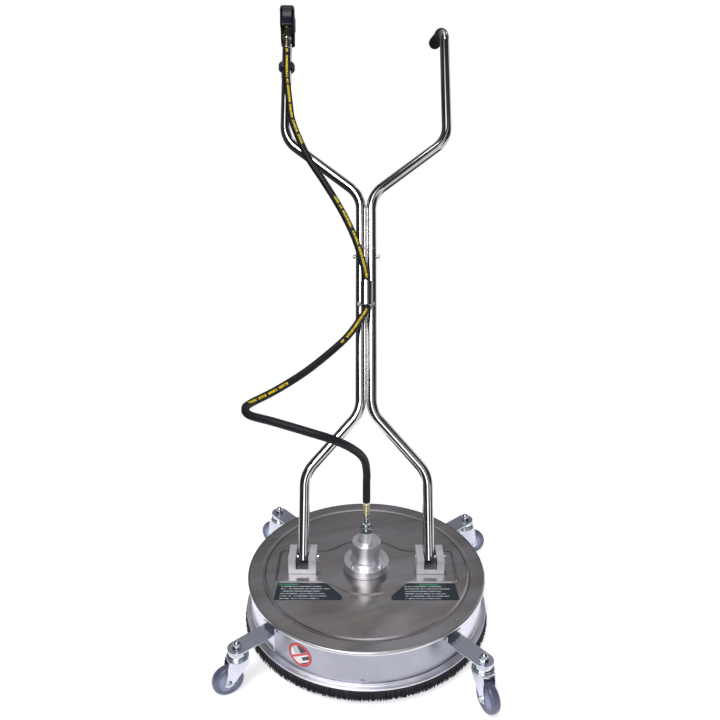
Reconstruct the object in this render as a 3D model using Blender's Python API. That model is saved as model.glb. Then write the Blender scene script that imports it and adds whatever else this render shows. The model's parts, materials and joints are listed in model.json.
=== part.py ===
"""A rotary surface cleaner: a round steel deck on four swivel casters, a spray bar that
turns under it, and a tilting two-armed handle that carries a trigger gun and its hose.

Units are metres and +Z is up. The deck's own axis is the machine's working centre. +Y
points to the operator, who stands behind the leaning handle, and +X is to the left of
someone who stands there.
"""

import math

import bmesh
import bpy
from mathutils import Matrix, Vector

# ---------------------------------------------------------------- driving dimensions
GAP = 0.0003  # clearance between pieces that touch

# Whole machine: where the deck's axis stands in the footprint's own frame
DECK_X = -0.0014
DECK_Y = -0.2890

# Deck
RIM_RADIUS = 0.2675
RIM_Z = 0.1265
SHEET = 0.002
LIP_DEPTH = 0.009
LIP_WIDTH = 0.0041
GROOVE_RADIUS = 0.866 * RIM_RADIUS
GROOVE_DEPTH = 0.0015
GROOVE_HALF_WIDTH = 0.004
HUB_HOLE = 0.034
PLATEAU_HEIGHT = 0.0015
PLATEAU_RADIUS = 0.0985
PLATEAU_SPAN = 0.200
PLATEAU_DEPTH = 0.056
WALL_RADIUS = 0.262
WALL_HEIGHT = 0.079
WALL_SIDES = 40

# Skirt
RING_RADIUS = 0.274
RING_THICKNESS = 0.0015
RING_HEIGHT = 0.017
BRUSH_INNER = 0.2665
BRUSH_OUTER = 0.279
BRUSH_BOTTOM = 0.0155

# Legs and casters
STEM_CIRCLE = 0.344
LEG_TWIST = -3.7  # degrees from the diagonals, seen from above
LEG_WIDTH = 0.040
LEG_THICKNESS = 0.0045
LEG_TOP = RIM_Z - 0.022
LEG_FLANGE = 0.004
STEM_RADIUS = 0.005
WHEEL_RADIUS = 0.0325
WHEEL_WIDTH = 0.022
TRAIL = 0.024
FORK_PLATE = 0.002
FORK_TOP = 0.083
RACE_RADIUS = 0.022
AXLE_RADIUS = 0.003
# Where each leg stands and where its wheel trails to, in degrees from +X
CASTERS = {"fl": (225, 206), "fr": (315, -67), "rl": (135, 150), "rr": (45, 15)}

# Hub, heights above the rim
HUB_FLANGE_RADIUS = 0.0515
HUB_BODY_RADIUS = 0.032
HUB_NECK_RADIUS = 0.013
HUB_FLANGE_TOP = 0.021
HUB_SHOULDER = 0.071
HUB_TOP = 0.095
BEARING_RADIUS = 0.021
BEARING_HEIGHT = 0.012
SHAFT_RADIUS = 0.010
BAR_Z = RIM_Z - 0.062
BAR_RADIUS = 0.008
BAR_REACH = 0.225

# Pivot blocks
FOOT_X = 0.1420
BLOCK_X = 0.1435
BLOCK_WIDTH = 0.062
BLOCK_DEPTH = 0.0586
BLOCK_HEIGHT = 0.0370
BLOCK_SLOT = 0.0284
BLOCK_FLOOR = 0.0112
PIN_RADIUS = 0.005

# Handle, drawn in its own leaning frame: X across, Y backwards, Z along the tubes
LEAN = math.radians(31.4)
PIVOT_Z = RIM_Z + 0.0263
TUBE_RADIUS = 0.01235
TUBE_BORE = 0.01085
TUBE_SIDES = 10
BEND_RADIUS = 0.075
FOOT_END = -0.007
PAIR_X = 0.0128
KNEE_LOW = 0.1853
KNEE_HIGH = 0.3298
JOINT_Z = 0.740
FORK_LOW = 0.875
FORK_HIGH = 1.0275
ARM_X = 0.2065
ARM_TOP = 1.304
END_BEND_RADIUS = 0.050
END_BEND = math.radians(64.6)
END_STRAIGHT = 0.118
END_TOE = math.radians(4)
SPIGOT_RADIUS = 0.0100
SPIGOT_BORE = 0.0086
SPIGOT_LENGTH = 0.060
SCREW_Z = 0.714
GUIDE_Z = 0.612
GUIDE_LENGTH = 0.061
GUIDE_RADIUS = 0.014
GUIDE_BORE = 0.0092
GRIP_RADIUS = 0.017
GRIP_LENGTH = 0.112

# Gun, drawn in an upright frame at the mouth of its barrel
BARREL_Y = -0.030  # in front of the left tube
BARREL_Z = 1.325
BARREL_RADIUS = 0.0122
GUN_WIDTH = 0.036
GUN_X = -ARM_X + 0.0025
GUN_TOE = math.radians(3)
GRIP_WIDTH = 0.031
GUN_TUBE_END = 1.330
CLAMP_Z = 1.232
CLAMP_RADIUS = 0.0212
CLAMP_WIDTH = 0.016
TRIGGER_WIDTH = 0.015
TRIGGER_PIVOT = (0.052, 0.006)
LOCK_PLACE = (0.088, 0.026)

# Hose
HOSE_RADIUS = 0.0085
FERRULE_TOP = 0.171  # above the rim
HOSE_END = 1.268

# ---------------------------------------------------------------- materials
FINISHES = {
    "satin_steel": ((0.36, 0.35, 0.36), 1.0, 0.32),
    "polished_steel": ((0.62, 0.61, 0.60), 1.0, 0.12),
    "zinc": ((0.55, 0.58, 0.62), 1.0, 0.28),
    "satin_aluminium": ((0.72, 0.73, 0.75), 1.0, 0.30),
    "hard_steel": ((0.42, 0.42, 0.43), 1.0, 0.25),
    "brass": ((0.68, 0.52, 0.26), 1.0, 0.28),
    "bristle_black": ((0.015, 0.015, 0.017), 0.0, 0.75),
    "rubber_black": ((0.02, 0.02, 0.022), 0.0, 0.60),
    "plastic_black": ((0.018, 0.018, 0.020), 0.0, 0.42),
    "wheel_grey": ((0.17, 0.18, 0.21), 0.0, 0.50),
}


def finish(name):
    """The material of this name, made the first time that it is asked for."""
    if name in bpy.data.materials:
        return bpy.data.materials[name]
    colour, metallic, roughness = FINISHES[name]
    made = bpy.data.materials.new(name)
    made.use_nodes = True
    shader = made.node_tree.nodes["Principled BSDF"]
    shader.inputs["Base Color"].default_value = (*colour, 1.0)
    shader.inputs["Metallic"].default_value = metallic
    shader.inputs["Roughness"].default_value = roughness
    made.diffuse_color = (*colour, 1.0)
    return made


# ---------------------------------------------------------------- modelling helpers
def empty(name, parent, location=(0, 0, 0), rotation=(0, 0, 0)):
    frame = bpy.data.objects.new(name, None)
    frame.parent = parent
    frame.location = location
    frame.rotation_euler = rotation
    bpy.context.scene.collection.objects.link(frame)
    return frame


def add(name, bm, finish_name, parent, location=(0, 0, 0), rotation=(0, 0, 0)):
    """Turns a bmesh into a named object with smooth shading and its faces facing out."""
    bmesh.ops.recalc_face_normals(bm, faces=bm.faces)
    mesh = bpy.data.meshes.new(name)
    bm.to_mesh(mesh)
    bm.free()
    mesh.shade_smooth()
    mesh.set_sharp_from_angle(angle=math.radians(32))
    piece = bpy.data.objects.new(name, mesh)
    piece.parent = parent
    piece.location = location
    piece.rotation_euler = rotation
    if finish_name:
        mesh.materials.append(finish(finish_name))
    bpy.context.scene.collection.objects.link(piece)
    return piece


def bridge(bm, loops, closed=False):
    """Skins a row of equal loops of vertices, and caps both ends or joins them up."""
    pairs = list(zip(loops, loops[1:]))
    if closed:
        pairs.append((loops[-1], loops[0]))
    for lower, upper in pairs:
        for k in range(len(lower)):
            bm.faces.new((lower[k - 1], lower[k], upper[k], upper[k - 1]))
    if not closed:
        bm.faces.new(list(reversed(loops[0])))
        bm.faces.new(loops[-1])
    return bm


def turned(profile, sides=24, closed=False):
    """A profile of (radius, height) turned about Z. A closed profile makes a ring."""
    bm = bmesh.new()
    angles = [math.tau * k / sides for k in range(sides)]
    loops = [
        [bm.verts.new((r * math.cos(a), r * math.sin(a), z)) for a in angles]
        for r, z in profile
    ]
    return bridge(bm, loops, closed)


def rod(radius, low, high, sides=16, bore=None):
    """A round bar along Z, or a pipe when it has a bore."""
    profile = [(radius, low), (radius, high)]
    if bore:
        profile += [(bore, high), (bore, low)]
    return turned(profile, sides, closed=bore is not None)


def prism(outline, low, high, across="z"):
    """An outline of (a, b) extruded across X, Y or Z."""
    place = {
        "x": lambda a, b, d: (d, a, b),
        "y": lambda a, b, d: (a, d, b),
        "z": lambda a, b, d: (a, b, d),
    }[across]
    bm = bmesh.new()
    loops = [[bm.verts.new(place(a, b, d)) for a, b in outline] for d in (low, high)]
    return bridge(bm, loops)


def box(size, centre=(0, 0, 0)):
    bm = bmesh.new()
    bmesh.ops.create_cube(bm, size=1.0)
    bmesh.ops.scale(bm, vec=size, verts=bm.verts)
    bmesh.ops.translate(bm, vec=centre, verts=bm.verts)
    return bm


def rounded(corners, radius, steps=5):
    """A path through corners, with each inner corner replaced by an arc."""
    corners = [Vector(c) for c in corners]
    path = [corners[0]]
    for before, corner, after in zip(corners, corners[1:], corners[2:]):
        into = (corner - before).normalized()
        out = (after - corner).normalized()
        turn = into.angle(out)
        tangent = radius * math.tan(turn / 2)
        axis = into.cross(out).normalized()
        start = corner - into * tangent
        centre = start + axis.cross(into) * radius
        for k in range(steps + 1):
            spun = Matrix.Rotation(turn * k / steps, 3, axis) @ (start - centre)
            path.append(centre + spun)
    path.append(corners[-1])
    return path


def swept(path, radius, sides=TUBE_SIDES, bore=None):
    """A round section carried along a path without twist, solid or with a bore."""
    bm = bmesh.new()
    count = len(path)
    along = [
        (path[min(k + 1, count - 1)] - path[max(k - 1, 0)]).normalized()
        for k in range(count)
    ]
    side = along[0].orthogonal().normalized()
    loops = {r: [] for r in (radius, bore) if r}
    for centre, direction in zip(path, along):
        side = (side - direction * side.dot(direction)).normalized()
        other = direction.cross(side)
        for r, rows in loops.items():
            angles = [math.tau * k / sides for k in range(sides)]
            offsets = [side * math.cos(a) + other * math.sin(a) for a in angles]
            rows.append([bm.verts.new(centre + offset * r) for offset in offsets])
    if not bore:
        return bridge(bm, loops[radius])
    return bridge(bm, loops[radius] + loops[bore][::-1], closed=True)


def hexed(rows, closed=False):
    """Rows of (radius, height, hexagon?) turned about Z, for nuts with round parts."""
    bm = bmesh.new()
    loops = []
    for radius, z, hexagon in rows:
        loop = []
        for k in range(12):
            reach = radius / math.cos(math.pi / 6) if hexagon and k % 2 else radius
            a = math.tau * k / 12
            loop.append(bm.verts.new((reach * math.cos(a), reach * math.sin(a), z)))
        loops.append(loop)
    return bridge(bm, loops, closed)


def arc(centre, radius, start, end, steps=5):
    """Points of an arc in an outline, with its angles in degrees."""
    angles = [math.radians(start + (end - start) * k / steps) for k in range(steps + 1)]
    a, b = centre
    return [(a + radius * math.cos(t), b + radius * math.sin(t)) for t in angles]


def boolean(piece, tool, operation):
    """Adds a Boolean modifier, and hides the object that it takes."""
    tool.hide_render = True
    tool.display_type = "WIRE"
    step = piece.modifiers.new(operation.lower() + "_" + tool.name, "BOOLEAN")
    step.operation = operation
    step.object = tool


def cut(piece, name, bm, parent, location=(0, 0, 0), rotation=(0, 0, 0)):
    boolean(piece, add(name, bm, None, parent, location, rotation), "DIFFERENCE")


def join(piece, name, bm, parent, location=(0, 0, 0), rotation=(0, 0, 0)):
    boolean(piece, add(name, bm, None, parent, location, rotation), "UNION")


def soften(piece, width, segments=1):
    bevel = piece.modifiers.new("soft_edges", "BEVEL")
    bevel.width = width
    bevel.segments = segments
    bevel.limit_method = "ANGLE"
    bevel.angle_limit = math.radians(40)


ALONG_X = (0, math.pi / 2, 0)
ALONG_Y = (-math.pi / 2, 0, 0)


# ---------------------------------------------------------------- deck
def deck_cover(deck):
    """The pressed steel lid: a rolled rim, a ring groove and a raised plateau."""
    top, under = 0.0, -SHEET
    groove = GROOVE_RADIUS
    half = GROOVE_HALF_WIDTH
    lip = RIM_RADIUS - LIP_WIDTH
    profile = [
        (HUB_HOLE, under),
        (HUB_HOLE, top),
        (groove - half, top),
        (groove, top - GROOVE_DEPTH),
        (groove + half, top),
        (RIM_RADIUS - 0.004, top),
        (RIM_RADIUS - 0.001, top - 0.0015),
        (RIM_RADIUS, top - 0.0045),
        (RIM_RADIUS - 0.001, top - LIP_DEPTH + 0.001),
        (RIM_RADIUS - 0.0025, top - LIP_DEPTH),
        (lip, top - LIP_DEPTH + 0.0015),
        (lip, under),
        (groove + half, under),
        (groove, under - GROOVE_DEPTH),
        (groove - half, under),
    ]
    cover = add("deck_cover", turned(profile, WALL_SIDES, True), "satin_steel", deck)
    half_depth = PLATEAU_DEPTH
    meet = math.degrees(math.asin(half_depth / PLATEAU_RADIUS)) + 12
    right = [(PLATEAU_SPAN, -half_depth), (PLATEAU_SPAN, half_depth)]
    left = [(-PLATEAU_SPAN, half_depth), (-PLATEAU_SPAN, -half_depth)]
    shoulder = PLATEAU_RADIUS + 0.016
    outline = (
        right
        + [(shoulder, half_depth)]
        + arc((0, 0), PLATEAU_RADIUS, meet, 180 - meet, 10)
        + [(-shoulder, half_depth)]
        + left
        + [(-shoulder, -half_depth)]
        + arc((0, 0), PLATEAU_RADIUS, 180 + meet, 360 - meet, 10)
        + [(shoulder, -half_depth)]
    )
    raised = prism(outline, -SHEET / 2, PLATEAU_HEIGHT)
    join(cover, "plateau_shape", raised, deck)
    cut(cover, "hub_hole_cutter", rod(HUB_HOLE, -0.01, 0.01, 32), deck)


def side_band(deck):
    top = -SHEET - GAP
    band = rod(WALL_RADIUS, -WALL_HEIGHT, top, WALL_SIDES, WALL_RADIUS - SHEET)
    add("side_band", band, "satin_steel", deck)


def skirt_ring(deck):
    """The angle ring round the wall's foot, which the brush hangs from."""
    inner = WALL_RADIUS + GAP + 0.0004
    low = -WALL_HEIGHT - 0.009
    high = low + RING_HEIGHT
    profile = [
        (inner, low),
        (inner, high),
        (inner + RING_THICKNESS, high),
        (inner + RING_THICKNESS, low + 0.0035),
        (RING_RADIUS, low + 0.0035),
        (RING_RADIUS, low),
    ]
    add("skirt_ring", turned(profile, WALL_SIDES, True), "satin_steel", deck)
    return low


def brush_skirt(deck, ring_low):
    top = ring_low - GAP
    bottom = BRUSH_BOTTOM - RIM_Z
    profile = [
        (BRUSH_INNER, bottom),
        (BRUSH_INNER, top),
        (BRUSH_INNER + 0.006, top),
        (BRUSH_OUTER, bottom + 0.010),
        (BRUSH_OUTER, bottom),
    ]
    add("brush_skirt", turned(profile, WALL_SIDES, True), "bristle_black", deck)


# ---------------------------------------------------------------- casters
def leg(name, frame):
    """A flat bar with an upturned flange against the wall and a round outer end."""
    inner = WALL_RADIUS + 0.0005
    half = LEG_WIDTH / 2
    top = LEG_TOP
    outline = [(inner, -half)] + arc((STEM_CIRCLE, 0), half, -90, 90, 12) + [(inner, half)]
    bar = add("leg_" + name, prism(outline, top - LEG_THICKNESS, top), "zinc", frame)
    flange_top = RIM_Z - LIP_DEPTH - 0.001
    flange_height = flange_top - top + LEG_THICKNESS
    flange = box(
        (LEG_FLANGE, LEG_WIDTH, flange_height),
        (inner + LEG_FLANGE / 2, 0, flange_top - flange_height / 2),
    )
    join(bar, "leg_flange_" + name, flange, frame)
    hole = rod(STEM_RADIUS + 0.0004, top - 0.01, top + 0.01, 12)
    cut(bar, "stem_hole_" + name, hole, frame, (STEM_CIRCLE, 0, 0))


def dome_nut(name, seat):
    """An acorn nut: a hexagon with a round cap and a blind bore for the stem."""
    low = LEG_TOP + GAP
    flats = 0.0085
    rows = [
        (STEM_RADIUS + 0.0004, low + 0.007, False),
        (STEM_RADIUS + 0.0004, low, False),
        (flats, low, True),
        (flats, low + 0.006, True),
        (0.0080, low + 0.0062, False),
        (0.0074, low + 0.0092, False),
        (0.0052, low + 0.0115, False),
        (0.0020, low + 0.0125, False),
    ]
    add("dome_nut_" + name, hexed(rows), "zinc", seat)


def swivel_head(name, seat):
    """The fixed upper race of the caster with its threaded stem."""
    under = LEG_TOP - LEG_THICKNESS - GAP
    low = FORK_TOP + GAP
    profile = [
        (0.016, low),
        (RACE_RADIUS + 0.0005, low),
        (RACE_RADIUS + 0.0005, low + 0.0035),
        (RACE_RADIUS - 0.002, low + 0.0045),
        (RACE_RADIUS - 0.001, low + 0.010),
        (RACE_RADIUS - 0.0035, under),
        (STEM_RADIUS, under),
        (STEM_RADIUS, LEG_TOP + 0.006),
    ]
    add("swivel_head_" + name, turned(profile, 16), "zinc", seat)


def fork(name, swivel):
    """The turning half: a lower race disc and two plates that narrow to the axle."""
    inside = WHEEL_WIDTH / 2 + 0.0015
    outside = inside + FORK_PLATE
    under = FORK_TOP - 0.003
    outline = (
        [(-0.018, FORK_TOP - 0.0005), (-0.020, under - 0.008)]
        + arc((TRAIL, WHEEL_RADIUS), 0.0085, 205, 345, 6)
        + [(0.024, under - 0.010), (0.020, FORK_TOP - 0.0005)]
    )
    plates = add("fork_" + name, prism(outline, -outside, outside, "y"), "zinc", swivel)
    well = box((0.12, 2 * inside, under), (0.0, 0, under / 2))
    cut(plates, "fork_well_" + name, well, swivel)
    race = rod(RACE_RADIUS, under - 0.0005, FORK_TOP, 16)
    join(plates, "fork_race_" + name, race, swivel)
    hole = rod(AXLE_RADIUS + 0.0004, -0.03, 0.03, 12)
    cut(plates, "axle_hole_" + name, hole, swivel, (TRAIL, 0, WHEEL_RADIUS), ALONG_Y)


def axle(name, swivel):
    """A bolt with a head and a nut outside the fork's plates."""
    seat = WHEEL_WIDTH / 2 + 0.0015 + FORK_PLATE + GAP
    profile = [
        (0.0052, -seat - 0.0035),
        (0.0052, -seat),
        (AXLE_RADIUS, -seat),
        (AXLE_RADIUS, seat),
        (0.0052, seat),
        (0.0052, seat + 0.0035),
    ]
    place = (TRAIL, 0, WHEEL_RADIUS)
    add("axle_" + name, turned(profile, 12), "zinc", swivel, place, ALONG_Y)


def wheel(name, swivel):
    """A rubber wheel with rounded shoulders and a dished hub."""
    half = WHEEL_WIDTH / 2
    bore = AXLE_RADIUS + 0.0004
    side = [
        (bore, half),
        (0.009, half),
        (0.012, half - 0.003),
        (0.021, half - 0.0015),
        (WHEEL_RADIUS - 0.004, half - 0.001),
        (WHEEL_RADIUS, half - 0.005),
    ]
    profile = side + [(r, -z) for r, z in reversed(side)]
    place = (TRAIL, 0, WHEEL_RADIUS)
    add("wheel_" + name, turned(profile, 20, True), "wheel_grey", swivel, place, ALONG_Y)


def casters(floor):
    for name, (diagonal, trail) in CASTERS.items():
        bearing = math.radians(diagonal + LEG_TWIST)
        leg_frame = empty("leg_frame_" + name, floor, rotation=(0, 0, bearing))
        leg(name, leg_frame)
        place = (STEM_CIRCLE * math.cos(bearing), STEM_CIRCLE * math.sin(bearing), 0)
        seat = empty("seat_" + name, floor, place)
        dome_nut(name, seat)
        swivel_head(name, seat)
        swivel = empty("swivel_" + name, floor, place, (0, 0, math.radians(trail)))
        fork(name, swivel)
        axle(name, swivel)
        wheel(name, swivel)


# ---------------------------------------------------------------- hub and rotor
def hub_housing(deck):
    """The turned swivel body, bored from below for its bearings and seal."""
    low = PLATEAU_HEIGHT + GAP
    seat = BEARING_RADIUS + GAP
    profile = [
        (seat, low),
        (HUB_FLANGE_RADIUS, low),
        (HUB_FLANGE_RADIUS, HUB_FLANGE_TOP - 0.001),
        (HUB_FLANGE_RADIUS - 0.001, HUB_FLANGE_TOP),
        (HUB_BODY_RADIUS + 0.004, HUB_FLANGE_TOP),
        (HUB_BODY_RADIUS, HUB_FLANGE_TOP + 0.008),
        (HUB_BODY_RADIUS, HUB_SHOULDER),
        (0.0180, HUB_SHOULDER),
        (0.0165, HUB_SHOULDER + 0.004),
        (HUB_NECK_RADIUS, HUB_TOP),
        (0.006, HUB_TOP),
        (0.006, 0.080),
        (SHAFT_RADIUS + 0.001, 0.080),
        (SHAFT_RADIUS + 0.001, 0.066),
        (0.0165, 0.066),
        (0.0165, 0.0565),
        (seat, 0.0565),
    ]
    add("hub_housing", turned(profile, 24, True), "satin_aluminium", deck)


def bearings(deck):
    for name, low in (("bearing_lower", 0.005), ("bearing_upper", 0.044)):
        inner = SHAFT_RADIUS + GAP
        ring = rod(BEARING_RADIUS, low, low + BEARING_HEIGHT, 18, inner)
        add(name, ring, "hard_steel", deck)
    seal = rod(0.0162, 0.0575, 0.0655, 16, SHAFT_RADIUS + GAP)
    add("shaft_seal", seal, "rubber_black", deck)


def inlet_adapter(deck):
    """The connector that screws into the swivel's neck: a hexagon and a round neck."""
    low = HUB_TOP + GAP
    top = low + 0.0235
    rows = [
        (0.0045, low, False),
        (0.0138, low, True),
        (0.0138, low + 0.008, True),
        (0.0095, low + 0.0095, False),
        (0.0095, top, False),
        (0.0045, top, False),
    ]
    add("inlet_adapter", hexed(rows, True), "zinc", deck)
    return top


def hose_end_lower(deck, low):
    """The crimped fitting on the hose's lower end, a stem and a gold ferrule."""
    low += GAP
    profile = [
        (0.0055, low),
        (0.0055, low + 0.019),
        (0.0068, low + 0.020),
        (0.0074, low + 0.023),
        (0.0074, FERRULE_TOP - 0.001),
        (0.0070, FERRULE_TOP),
    ]
    add("hose_end_lower", turned(profile, 16), "brass", deck)


def rotor(deck):
    """The shaft and the spray bar with a nozzle at each end, turning as one."""
    shaft = [
        (0.014, BAR_Z - RIM_Z + BAR_RADIUS + 0.0035),
        (0.014, -0.016),
        (SHAFT_RADIUS, -0.014),
        (SHAFT_RADIUS, 0.0785),
    ]
    add("rotor_shaft", turned(shaft, 20), "hard_steel", deck)
    frame = empty("rotor_frame", deck, (0, 0, BAR_Z - RIM_Z))
    bar = add("spray_bar", rod(BAR_RADIUS, -BAR_REACH, BAR_REACH, 12), "zinc", frame)
    bar.rotation_euler = ALONG_X
    boss = rod(0.015, -0.012, BAR_RADIUS + 0.003, 16)
    boolean(bar, add("bar_boss", boss, None, frame), "UNION")
    for name, side in (("nozzle_a", 1), ("nozzle_b", -1)):
        place = (side * (BAR_REACH - 0.010), 0, 0)
        fall = turned([(0.0045, -0.030), (0.0070, -0.026), (0.0070, -BAR_RADIUS - GAP)], 12)
        add(name, fall, "brass", frame, place)


# ---------------------------------------------------------------- pivots
def pivot_blocks(deck):
    """U-shaped aluminium blocks and the cross pins that the handle turns on."""
    base = PLATEAU_HEIGHT + GAP
    top = base + BLOCK_HEIGHT
    floor = base + BLOCK_FLOOR
    half = BLOCK_WIDTH / 2
    slot = BLOCK_SLOT / 2
    outline = [
        (-half, base),
        (half, base),
        (half, top),
        (slot, top),
        (slot, floor),
        (-slot, floor),
        (-slot, top),
        (-half, top),
    ]
    depth = BLOCK_DEPTH / 2
    pin_z = PIVOT_Z - RIM_Z
    for name, side in (("left", -1), ("right", 1)):
        seat = empty("block_frame_" + name, deck, (side * BLOCK_X, 0, 0))
        shape = prism(outline, -depth, depth, "y")
        block = add("pivot_block_" + name, shape, "satin_aluminium", seat)
        soften(block, 0.0008)
        bore = rod(PIN_RADIUS + 0.0004, -half - 0.01, half + 0.01, 16)
        cut(block, "pin_bore_" + name, bore, seat, (0, 0, pin_z), ALONG_X)
        seat_x = half + GAP
        pin = [
            (0.0075, -seat_x - 0.003),
            (0.0075, -seat_x),
            (PIN_RADIUS, -seat_x),
            (PIN_RADIUS, seat_x + 0.007),
            (PIN_RADIUS - 0.001, seat_x + 0.008),
        ]
        place = (0, 0, pin_z)
        add("pivot_pin_" + name, turned(pin, 14), "zinc", seat, place, ALONG_X)


# ---------------------------------------------------------------- handle
def lower_tubes(handle):
    """From the pivot blocks inwards to the middle, where the two run side by side."""
    for name, side in (("left", -1), ("right", 1)):
        corners = [
            (side * FOOT_X, 0, FOOT_END),
            (side * FOOT_X, 0, KNEE_LOW),
            (side * PAIR_X, 0, KNEE_HIGH),
            (side * PAIR_X, 0, JOINT_Z),
        ]
        path = rounded(corners, BEND_RADIUS)
        shape = swept(path, TUBE_RADIUS, bore=TUBE_BORE)
        tube = add("tube_lower_" + name, shape, "polished_steel", handle)
        foot = (side * FOOT_X, 0, 0)
        bore = rod(PIN_RADIUS + 0.0004, -0.03, 0.03, 16)
        cut(tube, "foot_bore_" + name, bore, handle, foot, ALONG_X)
        start = side * (PAIR_X + 0.006)
        screw_hole = rod(0.0035, min(0, side * 0.02), max(0, side * 0.02), 12)
        place = (start, 0, SCREW_Z)
        cut(tube, "screw_hole_" + name, screw_hole, handle, place, ALONG_X)


def upper_tubes(handle):
    """Above the joint they part again. The right one bends back to carry a grip."""
    for name, side in (("left", -1), ("right", 1)):
        top = GUN_TUBE_END if side < 0 else ARM_TOP
        low = JOINT_Z + GAP
        corners = [
            (side * PAIR_X, 0, low),
            (side * PAIR_X, 0, FORK_LOW),
            (side * ARM_X, 0, FORK_HIGH),
            (side * ARM_X, 0, top),
        ]
        path = rounded(corners, BEND_RADIUS)
        if side > 0:
            path = path[:-1] + end_bend()
        shape = swept(path, TUBE_RADIUS, bore=TUBE_BORE)
        tube = add("tube_upper_" + name, shape, "polished_steel", handle)
        root = (TUBE_RADIUS + TUBE_BORE) / 2
        profile = [
            (SPIGOT_BORE, low - SPIGOT_LENGTH),
            (SPIGOT_RADIUS, low - SPIGOT_LENGTH),
            (SPIGOT_RADIUS, low + 0.001),
            (root, low + 0.002),
            (root, low + 0.008),
            (SPIGOT_BORE, low + 0.008),
        ]
        spigot = turned(profile, 12, True)
        place = (side * PAIR_X, 0, 0)
        join(tube, "spigot_" + name, spigot, handle, place)
        socket = rod(0.0035, 0, 0.03, 12)
        turn = (0, side * math.pi / 2, 0)
        start = (side * (PAIR_X + 0.003), 0, SCREW_Z)
        cut(tube, "spigot_hole_" + name, socket, handle, start, turn)


def end_bend():
    """The right arm's top: an arc backwards, toed in a little, and a straight end."""
    toe = Matrix.Rotation(END_TOE, 3, "Z")
    start = Vector((ARM_X, 0, ARM_TOP))
    points = []
    for k in range(8):
        t = END_BEND * k / 7
        back = END_BEND_RADIUS * (1 - math.cos(t))
        points.append(start + toe @ Vector((0, back, END_BEND_RADIUS * math.sin(t))))
    along = toe @ Vector((0, math.sin(END_BEND), math.cos(END_BEND)))
    points.append(points[-1] + along * END_STRAIGHT)
    return points


def grip_right(handle):
    """A rubber sleeve with a closed end, pushed over the right arm."""
    tip = end_bend()[-1]
    bore = TUBE_RADIUS + GAP
    start = -GRIP_LENGTH + 0.006
    profile = [
        (bore - 0.002, GAP),
        (bore, GAP),
        (bore, start),
        (GRIP_RADIUS + 0.002, start),
        (GRIP_RADIUS + 0.002, start + 0.004),
        (GRIP_RADIUS, start + 0.006),
        (GRIP_RADIUS, 0.003),
        (GRIP_RADIUS - 0.003, 0.006),
    ]
    turn = (-END_BEND, 0, END_TOE)
    add("grip_right", turned(profile, 18), "rubber_black", handle, tip, turn)


def thumb_screws(handle):
    """Wing screws that hold the upper half of the handle to the lower half."""
    for name, side in (("left", -1), ("right", 1)):
        outer = TUBE_RADIUS + 0.0008
        stem = [
            (0.0028, -0.0065),
            (0.0028, outer),
            (0.0055, outer),
            (0.0055, outer + 0.006),
            (0.0045, outer + 0.007),
        ]
        place = (side * PAIR_X, 0, SCREW_Z)
        turn = (0, side * math.pi / 2, 0)
        screw = add("thumb_screw_" + name, turned(stem, 14), "zinc", handle, place, turn)
        wings = [
            (outer + 0.002, -0.004),
            (outer + 0.007, -0.0095),
            (outer + 0.0095, -0.007),
            (outer + 0.006, 0.0),
            (outer + 0.0095, 0.007),
            (outer + 0.007, 0.0095),
            (outer + 0.002, 0.004),
        ]
        shape = prism([(b, a) for a, b in wings], -0.001, 0.001, "y")
        wing = add("wings_" + name, shape, None, handle, place, turn)
        boolean(screw, wing, "UNION")


def hose_guide(handle):
    """An aluminium sleeve strapped to the front of the tube pair."""
    centre_y = -TUBE_RADIUS - GUIDE_RADIUS - 0.0012
    low = GUIDE_Z - GUIDE_LENGTH / 2
    high = GUIDE_Z + GUIDE_LENGTH / 2
    sleeve = rod(GUIDE_RADIUS, low, high, 20, GUIDE_BORE)
    guide = add("hose_guide", sleeve, "satin_aluminium", handle, (0, centre_y, 0))
    front = -TUBE_RADIUS - 0.0005
    reach = 2 * PAIR_X + 2 * TUBE_RADIUS - 0.004
    saddle = box((reach, 0.003, 0.016), (0, front - 0.0015, low + 0.010))
    join(guide, "guide_saddle", saddle, handle)
    bore = rod(GUIDE_BORE, low - 0.01, high + 0.01, 20)
    cut(guide, "guide_bore", bore, handle, (0, centre_y, 0))


# ---------------------------------------------------------------- gun
def lean_to_upright(y, z):
    """A point of the handle's frame as (back, up) from the mouth of the barrel."""
    dy, dz = y - BARREL_Y, z - BARREL_Z
    back = dy * math.cos(LEAN) + dz * math.sin(LEAN)
    up = dz * math.cos(LEAN) - dy * math.sin(LEAN)
    return back, up


def gun_outline():
    """The side of the gun: head, level grip, rear end, body and the tube's socket."""
    return (
        [lean_to_upright(-0.048, 1.322), lean_to_upright(-0.048, 1.376)]
        + [lean_to_upright(-0.040, 1.3875)]
        + [(0.046, 0.058), (0.080, 0.051), (0.130, 0.045)]
        + [(0.186, 0.040), (0.196, 0.032), (0.197, 0.012), (0.190, 0.004)]
        + [(0.150, 0.009), (0.105, 0.010), (0.078, 0.004), (0.068, -0.002)]
        + [lean_to_upright(0.019, 1.318), lean_to_upright(0.019, 1.286)]
        + [lean_to_upright(0.014, 1.280), lean_to_upright(-0.013, 1.280)]
        + [lean_to_upright(-0.013, 1.322)]
    )


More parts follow.
